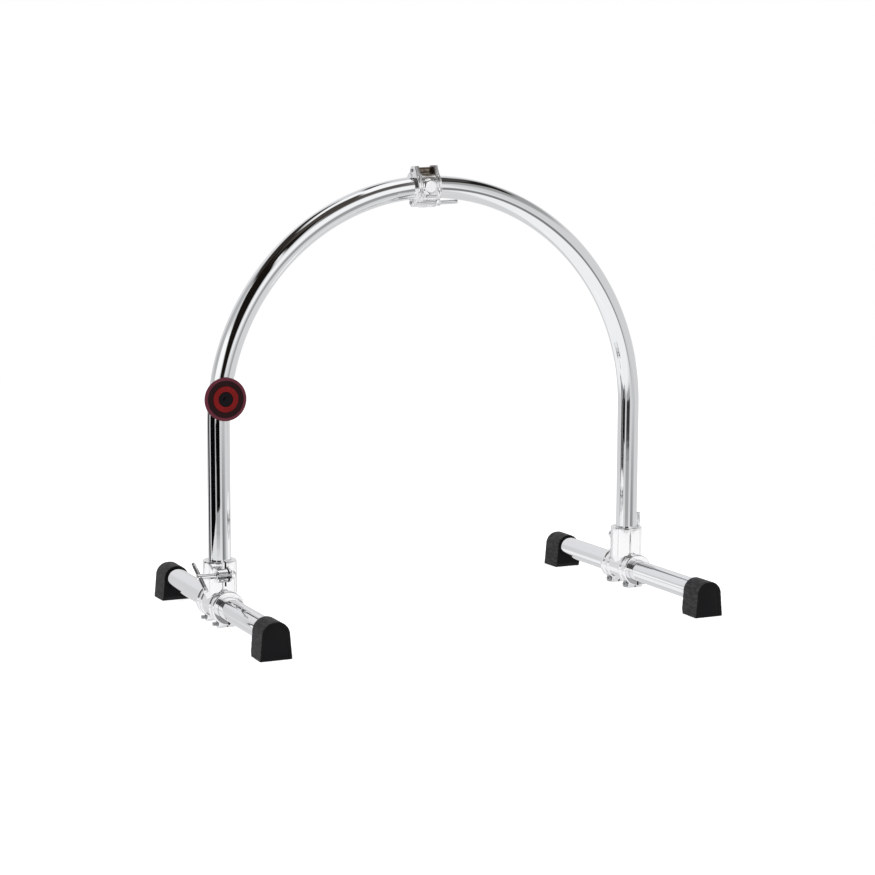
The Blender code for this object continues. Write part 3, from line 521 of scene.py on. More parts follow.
def polished_chrome(tree):
    """Chrome plate on a polished tube: a mirror, with wiping marks of 26 mm and faint waves of 18 mm."""
    place = node(tree, "TexCoord")["Object"]
    wipes = {"Vector": place, "Scale": per_metre(26), "Detail": 4, "Roughness": 0.6}
    wipes = node(tree, "TexNoise", wipes)[0]
    rough = node(tree, "ValToRGB", [wipes], [(0.35, grey(0.028)), (0.75, grey(0.06))])[0]
    waves = node(tree, "TexNoise", {"Vector": place, "Scale": per_metre(18.2), "Detail": 1})[0]
    bump = node(tree, "Bump", {"Height": waves, "Strength": 0.05, "Distance": 0.0005})[0]
    surface(tree, {"Roughness": rough, "Normal": bump, "Base Color": sizes("finish").chrome, "Metallic": 1})


def cast_skin(tree, place):
    """Plating over a cast skin: flow marks about 8 mm long and a swell of 4 mm that bends reflections."""
    flow = node(tree, "TexNoise", {"Vector": place, "Scale": per_metre(8.3), "Detail": 2})[0]
    rough = node(tree, "ValToRGB", [flow], [(0.3, grey(0.06)), (0.8, grey(0.13))])[0]
    skin = node(tree, "TexNoise", {"Vector": place, "Scale": per_metre(3.85), "Detail": 2})[0]
    bump = node(tree, "Bump", {"Height": skin, "Strength": 0.09, "Distance": 0.0004})[0]
    return {"Roughness": rough, "Normal": bump, "Metallic": 0.9}


def cast_chrome(tree):
    """Chrome plate on a zinc casting, wavier than the tube, with painted shade, near black, on the slits'
    faces.
    """
    finish = sizes("finish")
    coordinates = node(tree, "TexCoord")
    sideways = []
    for part in ("Object", "Normal"):
        across = node(tree, "SeparateXYZ", [coordinates[part]])[0]
        sideways.append(node(tree, "Math", [across], operation="ABSOLUTE")[0])
    # Painted shade in the slits: their faces look along X and lie in the plane of each leg, half a slit
    # from its middle, and take a near-black colour that stands in for the shade inside the slits
    from_leg = node(tree, "Math", [sideways[0], sizes("tube").arch_radius], operation="SUBTRACT")[0]
    from_leg = node(tree, "Math", [from_leg], operation="ABSOLUTE")[0]
    near = node(tree, "Math", [from_leg, sizes("clamp").slit * 0.6], operation="LESS_THAN")[0]
    facing = node(tree, "Math", [sideways[1], 0.9], operation="GREATER_THAN")[0]
    painted_slit_shade = node(tree, "Math", [near, facing], operation="MULTIPLY")[0]
    shown = node(tree, "Mix", {0: painted_slit_shade, 6: finish.casting, 7: finish.painted_slit_shade}, data_type="RGBA")[2]
    surface(tree, {**cast_skin(tree, coordinates["Object"]), "Base Color": shown})


def hinge_chrome(tree):
    """The same plate on the crown clamp's jaws, dulled brown in patches of 6 mm.

    The patches fade out between 14 and 22 mm from the middle of the hinge.
    """
    finish, crown = sizes("finish"), sizes("crown")
    place = node(tree, "TexCoord")["Object"]
    middle = crown_place() @ Vector((0, -crown.ear, crown.hinge))
    away = node(tree, "VectorMath", [place, middle], operation="DISTANCE")["Value"]
    clear = node(tree, "MapRange", {"Value": away, "From Min": 0.014, "From Max": 0.022})[0]
    patches = node(tree, "TexNoise", {"Vector": place, "Scale": per_metre(5.88), "Detail": 2})[0]
    deep = darker(finish.dulled, 0.45)
    brown = node(tree, "ValToRGB", [patches], [(0.35, deep), (0.65, finish.dulled)])[0]
    shown = node(tree, "Mix", {0: clear, 6: brown, 7: finish.casting}, data_type="RGBA")[2]
    surface(tree, {**cast_skin(tree, place), "Base Color": shown})


def zinc_plate(tree):
    """Zinc plate on steel screws: grey and satin. Its grain is drawn 2.4 mm wide, so that it shows."""
    place = node(tree, "TexCoord")["Object"]
    grain = {"Vector": place, "Scale": per_metre(2.38), "Detail": 5, "Roughness": 0.7}
    grain = node(tree, "TexNoise", grain)[0]
    rough = node(tree, "ValToRGB", [grain], [(0.3, grey(0.22)), (0.75, grey(0.38))])[0]
    bump = node(tree, "Bump", {"Height": grain, "Strength": 0.12, "Distance": 0.0002})[0]
    surface(tree, {"Roughness": rough, "Normal": bump, "Base Color": sizes("finish").zinc, "Metallic": 1})


def moulded_rubber(tree):
    """Moulded rubber: black on the ends, and grey on the walls in streaks 4 mm wide, 14 mm long; the walls'
    grey is rubbing and painted sheen, lighter than the ends as the glare on the walls.
    """
    finish = sizes("finish")
    coordinates = node(tree, "TexCoord")
    drawn = node(tree, "Mapping", {"Vector": coordinates["Object"], "Scale": (1, 0.3, 1)})[0]
    rubs = node(tree, "TexNoise", {"Vector": drawn, "Scale": per_metre(4.17), "Detail": 5})[0]
    walls = node(tree, "ValToRGB", [rubs], [(0.38, finish.rubbed_and_sheen), (0.66, finish.scuffed_and_sheen)])[0]
    # The ends are what faces along the bars; the walls get the lighter grey, which is partly painted sheen
    facing = node(tree, "SeparateXYZ", [coordinates["Normal"]])["Y"]
    facing = node(tree, "Math", [facing], operation="ABSOLUTE")[0]
    end = node(tree, "MapRange", {"Value": facing, "From Min": 0.6, "From Max": 0.95})[0]
    shown = node(tree, "Mix", {0: end, 6: walls, 7: finish.rubber}, data_type="RGBA")[2]
    bump = node(tree, "Bump", {"Height": rubs, "Strength": 0.4, "Distance": 0.0005})[0]
    surface(tree, {"Base Color": shown, "Normal": bump, "Roughness": 0.55, "Specular IOR Level": 0.12})


def woven_webbing(tree):
    """Woven polyester webbing, 26 mm wide: ribs across it about 1.1 mm apart, picks 0.9 mm apart."""
    webbing = sizes("finish").webbing
    place = node(tree, "UVMap", uv_map="weave")[0]
    threads = []
    for part, pitch in zip(node(tree, "SeparateXYZ", [place]), (0.0009, 0.0011)):
        turns = node(tree, "Math", [part, math.tau / pitch], operation="MULTIPLY")[0]
        threads.append(node(tree, "Math", [turns], operation="SINE")[0])
    weave = node(tree, "Math", threads, operation="MULTIPLY")[0]
    shown = node(tree, "ValToRGB", [weave], [(0.0, darker(webbing, 0.35)), (0.6, webbing)])[0]
    bump = node(tree, "Bump", {"Height": weave, "Strength": 0.5, "Distance": 0.0003})[0]
    surface(tree, {"Base Color": shown, "Normal": bump, "Roughness": 0.8, "Sheen Weight": 0.2})


def pressed_vinyl(tree, shown):
    """Soft vinyl, pressed in a mould with a fine pebble. It is drawn 1.1 mm wide, so that it shows."""
    place = node(tree, "TexCoord")["Object"]
    pebble = node(tree, "TexNoise", {"Vector": place, "Scale": per_metre(1.111), "Detail": 3})[0]
    bump = node(tree, "Bump", {"Height": pebble, "Strength": 0.25, "Distance": 0.0002})[0]
    surface(tree, {"Base Color": shown, "Normal": bump, "Roughness": 0.5, "Specular IOR Level": 0.1})


def soft_vinyl(tree):
    """The badge's disc, moulded in three colours: maroon rim, dark ground and grey-brown centre."""
    finish, badge = sizes("finish"), sizes("badge")
    leg_x = badge_leg()[0]
    centred = {"Vector": node(tree, "TexCoord")["Object"], "Scale": (1, 0, 1)}
    centred["Location"] = (-leg_x - badge.offset, 0, -badge.height)
    away = node(tree, "Mapping", centred)[0]
    away = node(tree, "VectorMath", [away], operation="LENGTH")["Value"]
    far, blur = 0.05, 0.0003
    away = node(tree, "Math", [away, far], operation="DIVIDE")[0]
    # The ground meets the centre under the ring, out of sight
    ring = (badge.ring_inner + badge.ring_outer) / 2
    rim = badge.radius - badge.rim
    tints = [(0, finish.centre), (ring - 0.0005, finish.centre), (ring, finish.ground)]
    tints += [(rim - blur, finish.ground), (rim + blur, finish.maroon)]
    stops = [(radius / far, tint) for radius, tint in tints]
    pressed_vinyl(tree, node(tree, "ValToRGB", [away], stops)[0])


def red_vinyl(tree):
    """The badge's ring in red, faintly clouded over 11 mm."""
    red = sizes("finish").red
    place = node(tree, "TexCoord")["Object"]
    cloud = node(tree, "TexNoise", {"Vector": place, "Scale": per_metre(11.1), "Detail": 3})[0]
    pressed_vinyl(tree, node(tree, "ValToRGB", [cloud], [(0.35, darker(red, 0.8)), (0.7, red)])[0])


def dark_nickel(tree):
    """Dark nickel plate on a rivet, dulled by handling in marks of 2 mm."""
    place = node(tree, "TexCoord")["Object"]
    marks = node(tree, "TexNoise", {"Vector": place, "Scale": per_metre(2), "Detail": 3})[0]
    rough = node(tree, "ValToRGB", [marks], [(0.3, grey(0.3)), (0.8, grey(0.45))])[0]
    surface(tree, {"Roughness": rough, "Base Color": sizes("finish").nickel, "Metallic": 1})


# Each finish: its material's name, how it is made, and the record's slot
CHROME = ("polished chrome plate", polished_chrome, "chromed_tube")
CASTING = ("chrome plate on a casting", cast_chrome, "chromed_casting")
HINGE = ("chrome plate dulled at the hinge", hinge_chrome, "chromed_casting")
CAST_NUT = ("chrome plate on a casting", cast_chrome, "zinc_plated_steel")
ZINC = ("zinc plate on steel", zinc_plate, "zinc_plated_steel")
RUBBER = ("moulded rubber", moulded_rubber, "black_rubber")
WEBBING = ("woven webbing", woven_webbing, "woven_strap")
VINYL = ("moulded soft vinyl", soft_vinyl, "badge_maroon")
RED_VINYL = ("red soft vinyl", red_vinyl, "badge_red")
NICKEL = ("dark nickel plate", dark_nickel, "zinc_plated_steel")


def hand_over(obj, finish, body, cad):
    """Finish a piece: its shading, material and body, and hide the CAD node it stands for."""
    name, build, slot = finish
    activate(obj)
    bpy.ops.object.shade_smooth_by_angle(angle=math.radians(30))
    obj.data.materials.clear()
    obj.data.materials.append(material(name, build))
    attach(obj, body)
    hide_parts(cad)


# Pieces


class AddArchTube(bpy.types.Operator):
    """Add the arch: one bent tube with two straight legs"""

    bl_idname = "docking_frame.add_arch"
    bl_label = "Arch Tube"

    def execute(self, context):
        tube = sizes("tube")
        deselect()
        bpy.ops.mesh.primitive_circle_add(
            vertices=tube.sides, radius=tube.radius, location=(-tube.arch_radius, 0, tube.leg_foot)
        )
        arch = context.object
        arch.name = "arch"
        bpy.ops.object.mode_set(mode="EDIT")
        bpy.ops.mesh.select_all(action="SELECT")
        rise = tube.spring_line - tube.leg_foot
        extrude((0, 0, rise))
        bpy.ops.mesh.spin(
            steps=tube.bend_steps, angle=math.pi, center=(0, 0, tube.spring_line), axis=(0, -1, 0)
        )
        extrude((0, 0, -rise))
        close_up()
        put(arch)
        modify(arch, "SOLIDIFY", thickness=tube.wall, offset=-1, use_even_offset=True)
        hand_over(arch, CHROME, "frame", "arch_tube")
        return {"FINISHED"}


def both_sides():
    """Each side's name, and its place and turn about Z in one matrix."""
    reach = sizes("tube").arch_radius
    yield "left", at(-reach, 0, 0)
    yield "right", at(reach, 0, 0) @ turn(180, "Z")


def ends(side):
    return ("front", "rear") if side == "left" else ("rear", "front")


class AddBaseBars(bpy.types.Operator):
    """Add the two base bars"""

    bl_idname = "docking_frame.add_bars"
    bl_label = "Base Bars"

    def execute(self, context):
        tube = sizes("tube")
        half = tube.bar_length / 2
        wall = tube.radius - tube.wall
        lip = 0.0004
        upper = [(wall, half), (tube.radius - lip, half), (tube.radius, half - lip)]
        bar = turned("bar", mirrored(upper), tube.sides, closed=True)
        along = at(0, tube.bar_shift, tube.bar_height) @ ALONG_Y
        for side, place in both_sides():
            hand_over(twin(bar, side + "_bar", place @ along), CHROME, side + "_bar", side + "_base_bar")
        discard(bar)
        return {"FINISHED"}


def foot_end(inset):
    """D-shaped end view of a foot about the bar's axis: round top, flared sides."""
    tube, foot = sizes("tube"), sizes("foot")
    top = tube.radius + tube.fit + foot.wall - inset
    side = top + foot.flare
    low = -tube.bar_height + inset
    return arc((0, 0), top, 0, 180, 40) + [(-side, low), (side, low)]


def foot_side():
    """Side view of a foot: flat sole, raised mouth edge, sloped outer edges. Y runs back from the mouth."""
    tube, foot = sizes("tube"), sizes("foot")
    low = -tube.bar_height
    top = tube.radius + tube.fit + foot.wall
    heel_in, heel_up, above = 0.001, 0.002, 0.003
    outline = [(0, low + foot.mouth_rise), (foot.chamfer, low)]
    outline += [(foot.length - heel_in, low), (foot.length, low + heel_up)]
    outline += rounded(foot.length, top, foot.chamfer, 20, 75, 6)
    outline += [(foot.length - foot.chamfer * 1.6, top + above), (0, top + above)]
    return [(-along, up) for along, up in outline]


class AddFeet(bpy.types.Operator):
    """Add the four rubber feet"""

    bl_idname = "docking_frame.add_feet"
    bl_label = "Feet"

    def execute(self, context):
        tube, foot = sizes("tube"), sizes("foot")
        body = put(plate("foot", foot_end(0), 0, foot.length), TO_FRONT)
        bpy.ops.object.mode_set(mode="EDIT")
        nearly = 0.0001
        select_faces(lambda face: face.center.y < -foot.length + nearly)
        bpy.ops.transform.resize(value=(1 + foot.taper, 1, 1), center_override=(0, 0, 0))
        bpy.ops.object.mode_set(mode="OBJECT")
        wide = 0.04
        past = 0.01
        combine(body, "INTERSECT", plate("side", foot_side(), -wide, wide))
        skin_over(body, foot.skin, 5)
        first_groove, last_groove = foot.rib_pitch * 1.5, foot.length - foot.rib_pitch * 0.8
        along = first_groove
        while along < last_groove:
            place = at(0, -along, -tube.bar_height) @ ALONG_TUBE
            cut(body, put(rod("groove", foot.rib_depth, -wide, wide, GROOVE_SIDES), place))
            along += foot.rib_pitch
        sunk = foot.length - foot.panel_depth
        panel = plate("panel", foot_end(foot.panel_edge), sunk, foot.length + past)
        inner_end = foot.length - foot.end_wall
        bore = rod("bore", tube.radius + tube.fit, -foot.length / 2, inner_end, TUBE_SIDES)
        cut(body, put(panel, TO_FRONT), put(bore, ALONG_Y))
        reach = tube.bar_length / 2 + tube.fit + foot.end_wall - foot.length
        for side, base in both_sides():
            for end, facing, degrees in zip(ends(side), (-1, 1), (0, 180)):
                place = at(0, tube.bar_shift + facing * reach, tube.bar_height) @ turn(degrees, "Z")
                cap = twin(body, f"{side}_{end}_cap", base @ place)
                hand_over(cap, RUBBER, side + "_bar", f"{side}_{end}_foot")
        discard(body)
        return {"FINISHED"}


class AddLegClamps(bpy.types.Operator):
    """Add the two cast T clamps"""

    bl_idname = "docking_frame.add_leg_clamps"
    bl_label = "Leg Clamps"

    def execute(self, context):
        tube, clamp, bolt = sizes("tube"), sizes("clamp"), sizes("bolt")
        bar_place = at(0, 0, tube.bar_height) @ ALONG_Y
        bore = tube.radius + tube.fit
        half = clamp.sleeve_length / 2
        rim, sleeve = clamp.sleeve_radius + clamp.rim_rise, clamp.sleeve_radius
        chamfer = 0.0012
        upper = [(0, half), (rim - chamfer, half), (rim, half - chamfer)]
        upper += [(rim, half - clamp.rim_width), (sleeve, half - clamp.rim_width - clamp.rim_rise)]
        rib, across = sleeve + clamp.rib_rise, clamp.rib_width / 2
        upper += [(sleeve, clamp.rib_place + across + clamp.rib_rise), (rib, clamp.rib_place + across)]
        upper += [(rib, clamp.rib_place - across), (sleeve, clamp.rib_place - across - clamp.rib_rise)]
        body = put(turned("clamp", mirrored(upper), TUBE_SIDES), bar_place)
        skirt = clamp.socket_floor - clamp.skirt_drop
        chamfer = 0.0014
        socket = [
            (0, clamp.socket_top),
            (clamp.socket_radius - chamfer, clamp.socket_top),
            (clamp.socket_radius, clamp.socket_top - chamfer),
            (clamp.socket_radius, clamp.socket_floor - clamp.skirt_taper),
            (clamp.socket_radius - clamp.skirt_taper, skirt),
            (0, skirt),
        ]
        short = 0.001
        root = bolt.bolt_y - bore - short
        ears = nose((-bolt.bolt_y, bolt.bolt_z), clamp.ear_radius, root, 90, 270)
        ears = plate("ears", ears, -clamp.ear_outer, clamp.ear_inner)
        join(body, turned("socket", socket, TUBE_SIDES), ears)
        for y in (-clamp.lug_spread, clamp.lug_spread):
            lug = nose((y, clamp.lug_height), clamp.lug_radius, clamp.lug_radius, 180, 360)
            join(body, plate("lug", lug, -clamp.lug_half_width, clamp.lug_half_width))
        skin_over(body, clamp.skin, 4)

        past = clamp.sleeve_length
        slit = clamp.slit / 2
        cut(body, put(rod("bar bore", bore, -past, past, TUBE_SIDES), bar_place))
        cut(body, rod("leg bore", bore, clamp.socket_floor, clamp.socket_top + past, TUBE_SIDES))
        cut(body, block("slit", (-slit, -past, -past), (slit, past, tube.bar_height)))
        slot_low = (-slit, -past, clamp.slot_floor)
        cut(body, block("slot", slot_low, (slit, 0, clamp.socket_top + past)))
        fork = nose((-bolt.bolt_y, bolt.bolt_z), bolt.shank + tube.fit, past, -90, 90)
        cut(body, plate("fork", fork, -past, past))
        for y in (-clamp.lug_spread, clamp.lug_spread):
            hole = rod("hole", sizes("key").radius + FIT, -past, past, KEY_HOLE_SIDES)
            cut(body, put(hole, at(0, y, clamp.lug_height) @ ALONG_X))
        for side, place in both_sides():
            hand_over(twin(body, side + "_clamp", place), CASTING, side + "_base", side + "_leg_clamp")
        discard(body)
        return {"FINISHED"}


def hex_nut(flats, thick, top, edge, hole, sides):
    """Bevelled nut below a height, with its hole."""
    nut = bevelled(rod("nut", flats / math.sqrt(3), top - thick, top, HEXAGON), edge)
    return cut(nut, rod("hole", hole, top * 2, -top, sides))


class AddKeyBolts(bpy.types.Operator):
    """Add the square-headed key bolts under the sleeves, and their nuts"""

    bl_idname = "docking_frame.add_key_bolts"
    bl_label = "Key Bolts"

    def execute(self, context):
        clamp, key = sizes("clamp"), sizes("key")
        seat = clamp.lug_half_width + FIT
        lip = 0.0005
        chamfer = 0.0007
        tip = -(seat + key.nut_thick + key.tip)
        head = seat + key.flange_thick
        profile = [(0, head), (key.flange - lip, head), (key.flange, head - lip), (key.flange, seat)]
        profile += [(key.radius, seat)] + thread(key.radius, -clamp.slit, tip + chamfer, key.pitch)
        bolt = turned("key", profile + [(key.radius - chamfer, tip), (0, tip)], PIN_SIDES)
        half, sunk, square_edge = key.square / 2, 0.0008, 0.0006
        square = block("square", (-half, -half, head - sunk), (half, half, head + key.square_length))
        join(bolt, bevelled(square, square_edge))
        nut = hex_nut(key.nut_flats, key.nut_thick, -seat, lip, key.radius + FIT, PIN_SIDES)
        for side, base in both_sides():
            for end, y in zip(ends(side), (-clamp.lug_spread, clamp.lug_spread)):
                place = base @ at(0, y, clamp.lug_height) @ ALONG_X
                for piece, kind in ((bolt, "bolt"), (nut, "nut")):
                    made = twin(piece, f"{side}_{end}_{kind}", place)
                    hand_over(made, ZINC, side + "_base", f"{side}_{end}_key_{kind}")
        discard(bolt, nut)
        return {"FINISHED"}


def handle_profile():
    """Hub and barrel of a T-bolt or T-nut, outwards from the lug's face."""
    bolt = sizes("bolt")
    outer, inner = bolt.reach + bolt.hub_half, bolt.reach - bolt.hub_half
    seat = bolt.washer_thick + 2 * FIT
    dome, slope, chamfer = 0.0016, 0.0006, 0.0004
    collar, neck = seat + 0.0022, bolt.barrel - 0.0005
    profile = [(0, outer)] + rounded(bolt.hub, outer, dome, 90, 0, 6)
    profile += [(bolt.hub, inner + slope), (bolt.hub - slope, inner), (neck, inner), (neck, collar + slope)]
    return profile + [(bolt.barrel, collar), (bolt.barrel, seat + chamfer), (bolt.barrel - chamfer, seat)]


def cross_hole(handle):
    bolt = sizes("bolt")
    hole = rod("cross hole", bolt.bar + FIT, -bolt.reach, bolt.reach, BAR_SIDES)
    return cut(handle, put(hole, at(0, 0, bolt.reach) @ ALONG_TUBE))


def t_bar():
    """Sliding bar with a turned groove and a domed cap at each end, along X."""
    bolt = sizes("bolt")
    half, radius = bolt.bar_length / 2, bolt.bar
    dome, depth, floor = 0.0016, 0.0006, 0.0002
    groove = half - 0.0075
    upper = [(0, half)] + [(x, half - dome + y * dome / radius) for x, y in arc((0, 0), radius, 80, 0, 8)]
    upper += [(radius, groove + depth), (radius - depth, groove + floor)]
    upper += [(radius - depth, groove - floor), (radius, groove - depth)]
    bar = turned("t bar", mirrored(upper), BAR_SIDES)
    return put(bar, at(0, 0, bolt.reach) @ ALONG_TUBE)


def washer():
    bolt = sizes("bolt")
    low, high, edge, hole = FIT, FIT + bolt.washer_thick, 0.0003, bolt.shank + FIT
    profile = [(hole, high), (bolt.washer - edge, high), (bolt.washer, high - edge)]
    profile += [(bolt.washer, low + edge), (bolt.washer - edge, low), (hole, low)]
    return turned("washer", profile, closed=True)


class AddLegTBolts(bpy.types.Operator):
    """Add the T-bolts of the leg clamps, with their bars, washers and nuts"""

    bl_idname = "docking_frame.add_leg_t_bolts"
    bl_label = "Leg T-Bolts"

    def execute(self, context):
        clamp, bolt = sizes("clamp"), sizes("bolt")
        seat = -(clamp.ear_outer + clamp.ear_inner + FIT)
        tip = seat - bolt.nut_thick - bolt.tip
        chamfer, nut_edge = 0.0008, 0.0006
        profile = handle_profile() + [(bolt.shank, bolt.washer_thick + 2 * FIT)]
        profile += thread(bolt.shank, -bolt.washer_thick, tip + chamfer, bolt.pitch)
        profile += [(bolt.shank - chamfer, tip), (0, tip)]
        handle = cross_hole(turned("t bolt", profile))
        nut = hex_nut(bolt.nut_flats, bolt.nut_thick, seat, nut_edge, bolt.shank + FIT, BAR_SIDES)
        put(nut, turn(30, "Z"))
        pieces = (
            ("t_bolt", handle, CHROME, "handle"),
            ("t_bar", t_bar(), CHROME, "handle"),
            ("t_washer", washer(), CHROME, "base"),
            ("t_nut", nut, CAST_NUT, "base"),
        )
        for side, base in both_sides():
            axis = at(-clamp.ear_outer, -bolt.bolt_y, bolt.bolt_z) @ ALONG_X
            spin = Matrix.Rotation(bolt.left_turn if side == "left" else bolt.right_turn, 4, "Z")
            for kind, piece, finish, body in pieces:
                place = base @ axis @ (spin if body == "handle" else Matrix())
                made = twin(piece, f"{side}_{kind}", place)
                hand_over(made, finish, f"{side}_{body}", f"{side}_leg_{kind}")
        discard(*[piece for kind, piece, finish, body in pieces])
        return {"FINISHED"}


# Half the slit between the crown clamp's jaws, and the round of its boss in shares of its radius and rise
JAW_SLIT = 0.0015
BOSS_SHARES = ((0, 1), (0.72, 1), (0.86, 0.7))


def crown_place():
    """The crown clamp's frame: on the tube's axis, at its place on the bend."""
    tube, crown = sizes("tube"), sizes("crown")
    lean = math.asin(crown.offset / tube.arch_radius)
    return at(0, 0, tube.spring_line) @ Matrix.Rotation(-lean, 4, "Y") @ tube_place()


def tube_place():
    return at(0, 0, sizes("tube").arch_radius)


def hinge_place():
    """The hinge pin, in the clamp's frame."""
    return at(0, 0, sizes("crown").hinge)


def swing_place():
    """The swing bolt's pin, in the clamp's frame."""
    return at(0, sizes("crown").pin_behind, -sizes("crown").bolt_drop)


def jaw_ring(name):
    """Solid turned body of a jaw, about the tube."""
    crown = sizes("crown")
    half, rim, chamfer = crown.length / 2, crown.radius + crown.rim_rise, 0.0008
    upper = [(0, half), (rim - chamfer, half), (rim, half - chamfer), (rim, half - crown.rim_width)]
    upper.append((crown.radius, half - crown.rim_width - crown.rim_rise))
    return put(turned(name, mirrored(upper), TUBE_SIDES), ALONG_TUBE)


def crown_bore():
    """The bent tube's room in the jaws."""
    tube, crown = sizes("tube"), sizes("crown")
    deselect()
    bpy.ops.mesh.primitive_circle_add(
        vertices=TUBE_SIDES, radius=crown.bore, fill_type="NGON", rotation=(0, math.pi / 2, 0)
    )
    bore = bpy.context.object
    reach = crown.length * 1.5 / tube.arch_radius
    put(bore, Matrix.Rotation(-reach, 4, "Y") @ tube_place())
    bpy.ops.object.mode_set(mode="EDIT")
    bpy.ops.mesh.select_all(action="SELECT")
    bpy.ops.mesh.spin(steps=24, angle=2 * reach, center=(0, 0, 0), axis=(0, -1, 0))
    close_up()
    return put(bore, tube_place().inverted())


def pin_hole(place):
    crown = sizes("crown")
    return put(rod("pin hole", crown.pin + FIT, -crown.length, crown.length, PIN_SIDES), place @ ALONG_TUBE)


def about_hinge(name, radius, start, end):
    return put(rod(name, radius, start, end, TUBE_SIDES), hinge_place() @ ALONG_TUBE)


def rear_jaw():
    """Rear half: a tongue with the hinge's knuckle above, the swing bolt's lugs below."""
    crown, bolt = sizes("crown"), sizes("bolt")
    wide = crown.radius * 2
    jaw = jaw_ring("rear jaw")
    front = block("front half", (-wide, -wide, -wide), (wide, JAW_SLIT, wide))
    cut(front, about_hinge("tongue", crown.tongue, -crown.knuckle_half, crown.knuckle_half))
    cut(jaw, front)
    for start in (-crown.length, crown.knuckle_half):
        end = start + crown.length - crown.knuckle_half
        cut(jaw, about_hinge("ear space", crown.ear + crown.gap, start, end))
    knuckle = nose((0, crown.hinge), crown.knuckle, crown.knuckle * 1.5, 0, 180)
    knuckle = plate("knuckle", knuckle, -crown.knuckle_half, crown.knuckle_half)
    inset = 0.001
    half = crown.length / 2 - inset
    lug = nose((crown.pin_behind, -crown.bolt_drop), crown.pin_lug, crown.bolt_drop / 2, 180, 360)
    join(jaw, knuckle, plate("lug", lug, -half, half))
    skin_over(jaw, crown.skin, 5)
    room = bolt.shank + 2 * FIT
    eye = crown.eye + crown.gap
    top = math.degrees(math.asin(room / eye))
    slot = [(wide, -wide), (wide, -crown.bolt_drop)]
    slot += arc((crown.pin_behind, -crown.bolt_drop), eye, 0, 180 - top, 24)
    slot += [(-wide, -crown.bolt_drop + room), (-wide, -wide)]
    slot_half = crown.eye_half + crown.gap
    cut(jaw, plate("eye slot", slot, -slot_half, slot_half), crown_bore())
    return cut(jaw, pin_hole(hinge_place()), pin_hole(swing_place()))


def front_jaw():
    """Front half: two hinge ears, a round boss and a forked lug for the swing bolt."""
    crown, bolt = sizes("crown"), sizes("bolt")
    wide = crown.radius * 2
    inner = crown.knuckle_half + crown.gap
    jaw = jaw_ring("front jaw")
    cut(jaw, block("rear half", (-wide, -JAW_SLIT, -wide), (wide, wide, wide)))
    cut(jaw, about_hinge("tongue space", crown.tongue + crown.gap, -inner, inner))
    ear = arc((0, crown.hinge), crown.ear, -90, 90, 24)
    horn = (-crown.horn + crown.horn_round, crown.hinge + crown.ear - crown.horn_round)
    ear += arc(horn, crown.horn_round, 90, 155, 6)
    # The ears meet the body 30 degrees above the bore's middle
    ear += [(-crown.radius * 0.866, crown.radius / 2), (0, crown.radius / 2)]
    inset = 0.0005
    outer = crown.length / 2 - inset
    join(jaw, plate("left ear", ear, -outer, -inner), plate("right ear", ear, inner, outer))
    low, shoulder = -crown.bolt_drop, -crown.bore * 0.5
    lug = [(-JAW_SLIT, shoulder), (-crown.lug_depth * 0.8, shoulder), (-crown.lug_depth, low + bolt.washer)]
    lug += arc((-crown.lug_depth + crown.lug_edge, low), crown.lug_edge, 180, 270, 16)
    lug += [(-JAW_SLIT, low - crown.lug_edge)]
    join(jaw, plate("lug", lug, -crown.lug_half_width, crown.lug_half_width))
    boss = [(crown.boss * across, crown.radius + crown.boss_rise * up) for across, up in BOSS_SHARES]
    sunk = 0.0005
    boss += [(crown.boss, crown.radius - sunk), (crown.boss, crown.bore), (0, crown.bore)]
    join(jaw, put(turned("boss", boss), ALONG_Y))
    skin_over(jaw, crown.skin, 5)
    fork = nose((0, 0), bolt.shank + FIT, crown.lug_edge * 2, 0, 180)
    fork = put(plate("fork", fork, 0, crown.lug_depth * 2), at(0, 0, low) @ TO_FRONT)
    return cut(jaw, fork, crown_bore(), pin_hole(hinge_place()))


class AddCrownClamp(bpy.types.Operator):
    """Add the two jaws of the crown clamp and its two pins"""

    bl_idname = "docking_frame.add_crown_clamp"
    bl_label = "Crown Clamp"

    def execute(self, context):
        crown = sizes("crown")
        for made, body, side in ((rear_jaw(), "top_clamp", "rear"), (front_jaw(), "top_jaw", "front")):
            put(made, crown_place())
            made.name = f"crown_{side}_jaw"
            hand_over(made, HINGE, body, f"top_{side}_jaw")
        head = crown.length / 2 + FIT
        rim, thick, slope, narrow = crown.pin + 0.0011, 0.0012, 0.0006, 0.0005
        profile = [(0, head + thick), (rim - slope, head + thick), (rim, head + slope), (rim, head)]
        profile += [(crown.pin, head), (crown.pin, slope - head), (crown.pin - narrow, -head), (0, -head)]
        for name, place in (("hinge", hinge_place()), ("swing", swing_place())):
            pin = turned(f"crown_{name}_pin", profile, PIN_SIDES)
            hand_over(put(pin, crown_place() @ place @ ALONG_X), ZINC, "top_clamp", f"top_{name}_pin")
        return {"FINISHED"}


